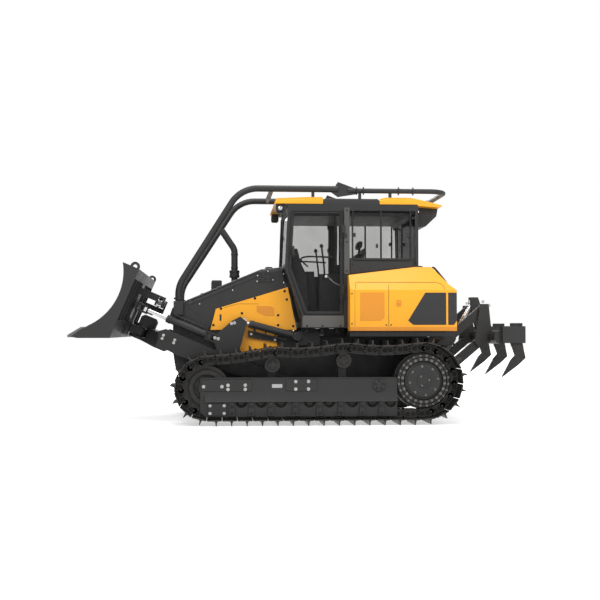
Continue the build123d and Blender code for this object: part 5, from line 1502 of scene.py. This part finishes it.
pod = bmesh.new()
pod_low, pod_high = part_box("rear_pod")
for index in range(6):
    z = pod_low.z + 0.060 + 0.032 * index
    shift = 0.030 * index
    add_tube(
        pod,
        smooth_points(
            ((-1.510, pod_high.y - 0.003, z), (pod_low.x + 0.130 - shift * 0.6, pod_high.y - 0.003, z)), 2
        ),
        0.006, 8,
    )
    add_tube(
        pod,
        [(-1.510, pod_low.y + 0.003, z), (pod_low.x + 0.130 - shift * 0.6, pod_low.y + 0.003, z)],
        0.006, 8,
    )
make_object("pod_ribs", pod, PLASTIC, "machine", "dark_plastic")
pod_lamps = bmesh.new()
for y in (-0.400, 0.400):
    place = facing((pod_low.x + 0.018, y, pod_high.z - 0.080), (-1, 0, 0))
    add_turned(
        pod_lamps, ((0.002, 0), (0.034, 0), (0.040, 0.010), (0.036, 0.018), (0.002, 0.018)), place, 28
    )
add_dome(pod_lamps, (-1.530, 0.559, pod_high.z - 0.055), (0, 1, 0), 0.018, 0.006)
add_dome(pod_lamps, (-1.530, -0.559, pod_high.z - 0.055), (0, -1, 0), 0.018, 0.006)
make_object("pod_lamps", pod_lamps, LENS, "machine", "chrome")

# ---------------------------------------------------------------- trunnion and push frame
push_body = body_with("push_frame")
tilt_caps = bmesh.new()
for centre, way in ((Vector(TILT_HEAD), 1), (Vector(TILT_FOOT), -1)):
    add_turned(
        tilt_caps,
        (
            (0.002, 0), (0.030, 0), (0.034, 0.004), (0.034, 0.010), (0.022, 0.014), (0.016, 0.018),
            (0.002, 0.018),
        ),
        facing((centre.x, centre.y + way * 0.052, centre.z), (0, way, 0)),
        36,
    )
make_object("tilt_pin_caps", tilt_caps, WEAR, body_with("blade_trunnion"), "wear_steel", 0.001)

push_bolts = bmesh.new()
for side_name, side in SIDES:
    for x, z in ((1.786, 1.114), (1.802, 1.073), (1.641, 1.053), (1.655, 1.017)):
        add_bolt(push_bolts, (x, side * 0.655, z), (0, side, 0), 0.026, 0.010)
make_object("push_frame_bolts", push_bolts, BOLT, push_body, "chrome", 0.001)

# ---------------------------------------------------------------- ripper fittings
ripper_body = body_with("ripper_frame")
tower_bolts = bmesh.new()
for side_name, side in SIDES:
    for x, z in ((-2.420, 1.560), (-2.500, 1.510)):
        add_bolt(tower_bolts, (x, side * 0.460, z), (0, side, 0), 0.030, 0.012)
make_object("ripper_tower_bolts", tower_bolts, BOLT, ripper_body, "chrome", 0.001)

# ---------------------------------------------------------------- rubber mounts and pipes under the cab
MOUNT_FOOT, MOUNT_HEAD = 1.150, 1.206
mounts = bmesh.new()
pipes = bmesh.new()
for side_name, side in SIDES:
    for x in (-0.050, -0.250, -0.450):
        add_turned(
            mounts,
            (
                (0.002, 0), (0.036, 0), (0.036, 0.010), (0.024, 0.016), (0.024, 0.040), (0.036, 0.046),
                (0.036, MOUNT_HEAD - MOUNT_FOOT), (0.002, MOUNT_HEAD - MOUNT_FOOT),
            ),
            facing((x, side * 0.690, MOUNT_FOOT), (0, 0, 1)),
            28,
        )
    for y, z, radius in ((0.655, 1.176, 0.012), (0.690, 1.192, 0.009)):
        add_tube(pipes, [Vector((0.020, side * y, z)), Vector((-0.540, side * y, z))], radius, 12)
make_object("cab_mounts", mounts, RUBBER, "machine", "dark_plastic", 0.001)
make_object("cab_pipes", pipes, BLACK_BOLT, "machine", "track_steel")

# ---------------------------------------------------------------- operator's seat
SEAT_X, SEAT_TOP, SEAT_HALF, CUSHION, BACK_RISE, BACK_RAKE = -0.560, 1.680, 0.250, 0.120, 0.720, 0.090
SEAT_LOW, SEAT_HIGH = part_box("seat")
SEAT_SWELL, SEAT_VOXEL, SEAT_FRAMES = 0.014, 0.006, 20


def inset_outline(outline, inset):
    """Convex outline moved towards its middle, by inset at each corner and along each axis."""
    middle = [sum(point[axis] for point in outline) / len(outline) for axis in (0, 1)]
    return [
        tuple(value - math.copysign(inset, value - centre) for value, centre in zip(point, middle))
        for point in outline
    ]


def pillow(name, outline, half_width):
    """Stuffed pad: a remeshed block blown up by cloth pressure, its points held near their start."""
    block = bmesh.new()
    side_prism(block, inset_outline(outline, 0.012), -half_width + 0.012, half_width - 0.012)
    pad = make_object(name, block, SEAT_CLOTH, body_with("seat"), "seat_fabric")
    bpy.context.view_layer.objects.active = pad
    rounding = pad.modifiers.new("rounding", "BEVEL")
    rounding.width = 0.030
    rounding.segments = 4
    remesh = pad.modifiers.new("remesh", "REMESH")
    remesh.mode = "VOXEL"
    remesh.voxel_size = SEAT_VOXEL
    for modifier in ("rounding", "remesh"):
        bpy.ops.object.modifier_apply(modifier=modifier)
    rest = [point.co.copy() for point in pad.data.vertices]
    cloth = pad.modifiers.new("cloth", "CLOTH")
    cloth.settings.use_pressure = True
    cloth.settings.uniform_pressure_force = 4
    cloth.settings.effector_weights.gravity = 0
    for step in range(1, SEAT_FRAMES + 1):
        bpy.context.scene.frame_set(step)
    graph = bpy.context.evaluated_depsgraph_get()
    blown = pad.evaluated_get(graph).data
    moved = [point.co.copy() for point in blown.vertices]
    pad.modifiers.remove(cloth)
    bpy.context.scene.frame_set(1)
    for point, start, end in zip(pad.data.vertices, rest, moved):
        shift = end - start
        if shift.length > SEAT_SWELL:
            shift *= SEAT_SWELL / shift.length
        point.co = start + shift
    for point in pad.data.vertices:
        for axis in range(3):
            point.co[axis] = min(max(point.co[axis], SEAT_LOW[axis]), SEAT_HIGH[axis])
    smoothing = pad.modifiers.new("subdivision", "SUBSURF")
    smoothing.levels = smoothing.render_levels = 1
    for polygon in pad.data.polygons:
        polygon.use_smooth = True
    return pad


def leaning(share_up, share_across):
    """Point (x, z) of the backrest's side view: share of its height, share of its thickness."""
    foot = SEAT_X - SEAT_HALF
    x = foot + CUSHION * share_across - BACK_RAKE * share_up
    return x, SEAT_TOP + CUSHION + (BACK_RISE - CUSHION) * share_up


pillow(
    "seat_cushion",
    (
        (SEAT_X - SEAT_HALF, SEAT_TOP + 0.012), (SEAT_X + SEAT_HALF, SEAT_TOP + 0.012),
        (SEAT_X + SEAT_HALF, SEAT_TOP + CUSHION), (SEAT_X - SEAT_HALF, SEAT_TOP + CUSHION),
    ),
    SEAT_HALF,
)
pillow(
    "seat_back_pad",
    (leaning(0.02, 0.15), leaning(0.02, 1.0), leaning(0.72, 1.0), leaning(0.72, 0.15)),
    SEAT_HALF,
)
pillow(
    "seat_headrest",
    (leaning(0.78, 0.20), leaning(0.78, 0.95), leaning(0.99, 0.95), leaning(0.99, 0.20)),
    0.150,
)
shell = bmesh.new()
shell_corners = ((0.0, 0.0), (0.0, 0.16), (0.80, 0.16), (0.80, 0.0))
side_prism(shell, [leaning(*at) for at in shell_corners], -0.215, 0.215)
for y in (-0.060, 0.060):
    add_tube(
        shell,
        [Vector((leaning(share, 0.45)[0], y, leaning(share, 0.45)[1])) for share in (0.66, 0.84)],
        0.008, 12,
    )
add_block(shell, (SEAT_X - 0.215, -0.215, SEAT_TOP - 0.012), (SEAT_X + 0.215, 0.215, SEAT_TOP + 0.020))
for index in range(6):
    spread = 0.172 - 0.010 * (index % 2)
    add_block(
        shell,
        (SEAT_X - spread, -spread, 1.330 + 0.056 * index),
        (SEAT_X + spread, spread, 1.386 + 0.056 * index),
    )
add_block(shell, (SEAT_X - 0.178, -0.178, SEAT_LOW.z), (SEAT_X + 0.178, 0.178, 1.332))
seat_shell = make_object("seat_shell", shell, PLASTIC, body_with("seat"), "dark_plastic", 0.006)
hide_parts("seat")
seams = bmesh.new()
for y in (-0.120, 0.120):
    add_tube(
        seams,
        [Vector((x, y, SEAT_TOP + CUSHION - 0.0035)) for x in (-0.775, -0.60, -0.45, -0.345)],
        0.0022, 8,
    )
make_object("seat_seams", seams, RUBBER, body_with("seat"), "dark_plastic")


# ---------------------------------------------------------------- floor, light, camera
FLOOR_NEAR, FLOOR_FAR, FLOOR_LIFT = 4.6, 7.0, 0.5
floor_mesh = bmesh.new()
add_block(floor_mesh, (-60, -60, -0.05), (60, 60, 0.0))
floor_data = bpy.data.meshes.new("floor")
floor_mesh.to_mesh(floor_data)
floor = bpy.data.objects.new("floor", floor_data)
bpy.context.collection.objects.link(floor)
floor_material, floor_tree, floor_shader = new_material("floor_white")
floor_shader.inputs["Base Color"].default_value = (0.93, 0.93, 0.93, 1)
floor_shader.inputs["Roughness"].default_value = 0.9
floor_shader.inputs["Specular IOR Level"].default_value = 0.1
white = floor_tree.nodes.new("ShaderNodeEmission")
floor_place = floor_tree.nodes.new("ShaderNodeTexCoord")
reach = floor_tree.nodes.new("ShaderNodeVectorMath")
reach.operation = "LENGTH"
floor_tree.links.new(floor_place.outputs["Object"], reach.inputs[0])
spread = floor_tree.nodes.new("ShaderNodeMapRange")
spread.interpolation_type = "SMOOTHSTEP"
spread.inputs["From Min"].default_value = FLOOR_NEAR
spread.inputs["From Max"].default_value = FLOOR_FAR
spread.inputs["To Min"].default_value = FLOOR_LIFT
spread.inputs["To Max"].default_value = 1.0
floor_tree.links.new(reach.outputs["Value"], spread.inputs["Value"])
floor_tree.links.new(spread.outputs[0], white.inputs["Strength"])
light_path = floor_tree.nodes.new("ShaderNodeLightPath")
plain = floor_tree.nodes.new("ShaderNodeAddShader")
floor_tree.links.new(floor_shader.outputs[0], plain.inputs[0])
floor_tree.links.new(white.outputs[0], plain.inputs[1])
reflected = floor_tree.nodes.new("ShaderNodeEmission")
seen = mix_shaders(
    floor_tree, light_path.outputs["Is Camera Ray"], floor_shader.outputs[0], plain.outputs[0]
)
floor_mix = mix_shaders(
    floor_tree, light_path.outputs["Is Glossy Ray"], seen, reflected.outputs[0]
)
floor_output = next(n for n in floor_tree.nodes if n.type == "OUTPUT_MATERIAL")
floor_tree.links.new(floor_mix, floor_output.inputs["Surface"])
floor_data.materials.append(floor_material)

SOFT_COLOUR, SOFT_LEVEL = (0.92, 0.95, 1, 1), 0.42
world = bpy.data.worlds.new("studio")
bpy.context.scene.world = world
world.use_nodes = True
world_tree = world.node_tree
world_tree.nodes.clear()
world_output = world_tree.nodes.new("ShaderNodeOutputWorld")
soft = world_tree.nodes.new("ShaderNodeBackground")
soft.inputs[0].default_value = SOFT_COLOUR
soft.inputs[1].default_value = SOFT_LEVEL
backdrop = world_tree.nodes.new("ShaderNodeBackground")
backdrop.inputs[0].default_value = (1, 1, 1, 1)
world_path = world_tree.nodes.new("ShaderNodeLightPath")
either = world_tree.nodes.new("ShaderNodeMath")
either.operation = "MAXIMUM"
# Nothing is linked to this node's second input, which holds 0.5: rays other than camera and
# transmission rays get half of the soft light and half of the backdrop.
third = world_tree.nodes.new("ShaderNodeMath")
third.operation = "MAXIMUM"
world_tree.links.new(world_path.outputs["Is Camera Ray"], either.inputs[0])
world_tree.links.new(world_path.outputs["Is Transmission Ray"], either.inputs[1])
world_tree.links.new(either.outputs[0], third.inputs[0])
world_mix = mix_shaders(world_tree, third.outputs[0], soft.outputs[0], backdrop.outputs[0])
world_tree.links.new(world_mix, world_output.inputs[0])


def add_light(name, place, target, size, power):
    """Soft square lamp aimed at a point."""
    light = bpy.data.lights.new(name, "AREA")
    light.size = size
    light.energy = power
    obj = bpy.data.objects.new(name, light)
    obj.location = place
    aim = Vector(target) - Vector(place)
    obj.rotation_euler = aim.to_track_quat("-Z", "Y").to_euler()
    bpy.context.collection.objects.link(obj)


# columns: name, place, aim, size, power
LAMPS = (
    ("key", (4.5, 9.0, 7.5), (0, 0, 1.2), 5.0, 400),
    ("fill", (-6.5, 8.0, 5.0), (0, 0, 1.2), 5.0, 230),
    ("top", (0, 1.0, 9.0), (0, 0, 1.0), 6.0, 380),
    ("back", (1.0, -9.0, 6.0), (0, 0, 1.2), 5.0, 320),
)
for lamp in LAMPS:
    add_light(*lamp)

CAMERA_PLACE, CAMERA_LOOK, CAMERA_LENS = (1.064, 14.3, 1.168), (-0.0753, -0.9967, 0.0293), 63.5
camera_data = bpy.data.cameras.new("camera")
camera_data.lens = CAMERA_LENS
camera_data.sensor_width = 36
camera = bpy.data.objects.new("camera", camera_data)
camera.location = CAMERA_PLACE
camera.rotation_euler = Vector(CAMERA_LOOK).to_track_quat("-Z", "Y").to_euler()
bpy.context.collection.objects.link(camera)
bpy.context.scene.camera = camera
bpy.context.scene.view_settings.view_transform = "Standard"
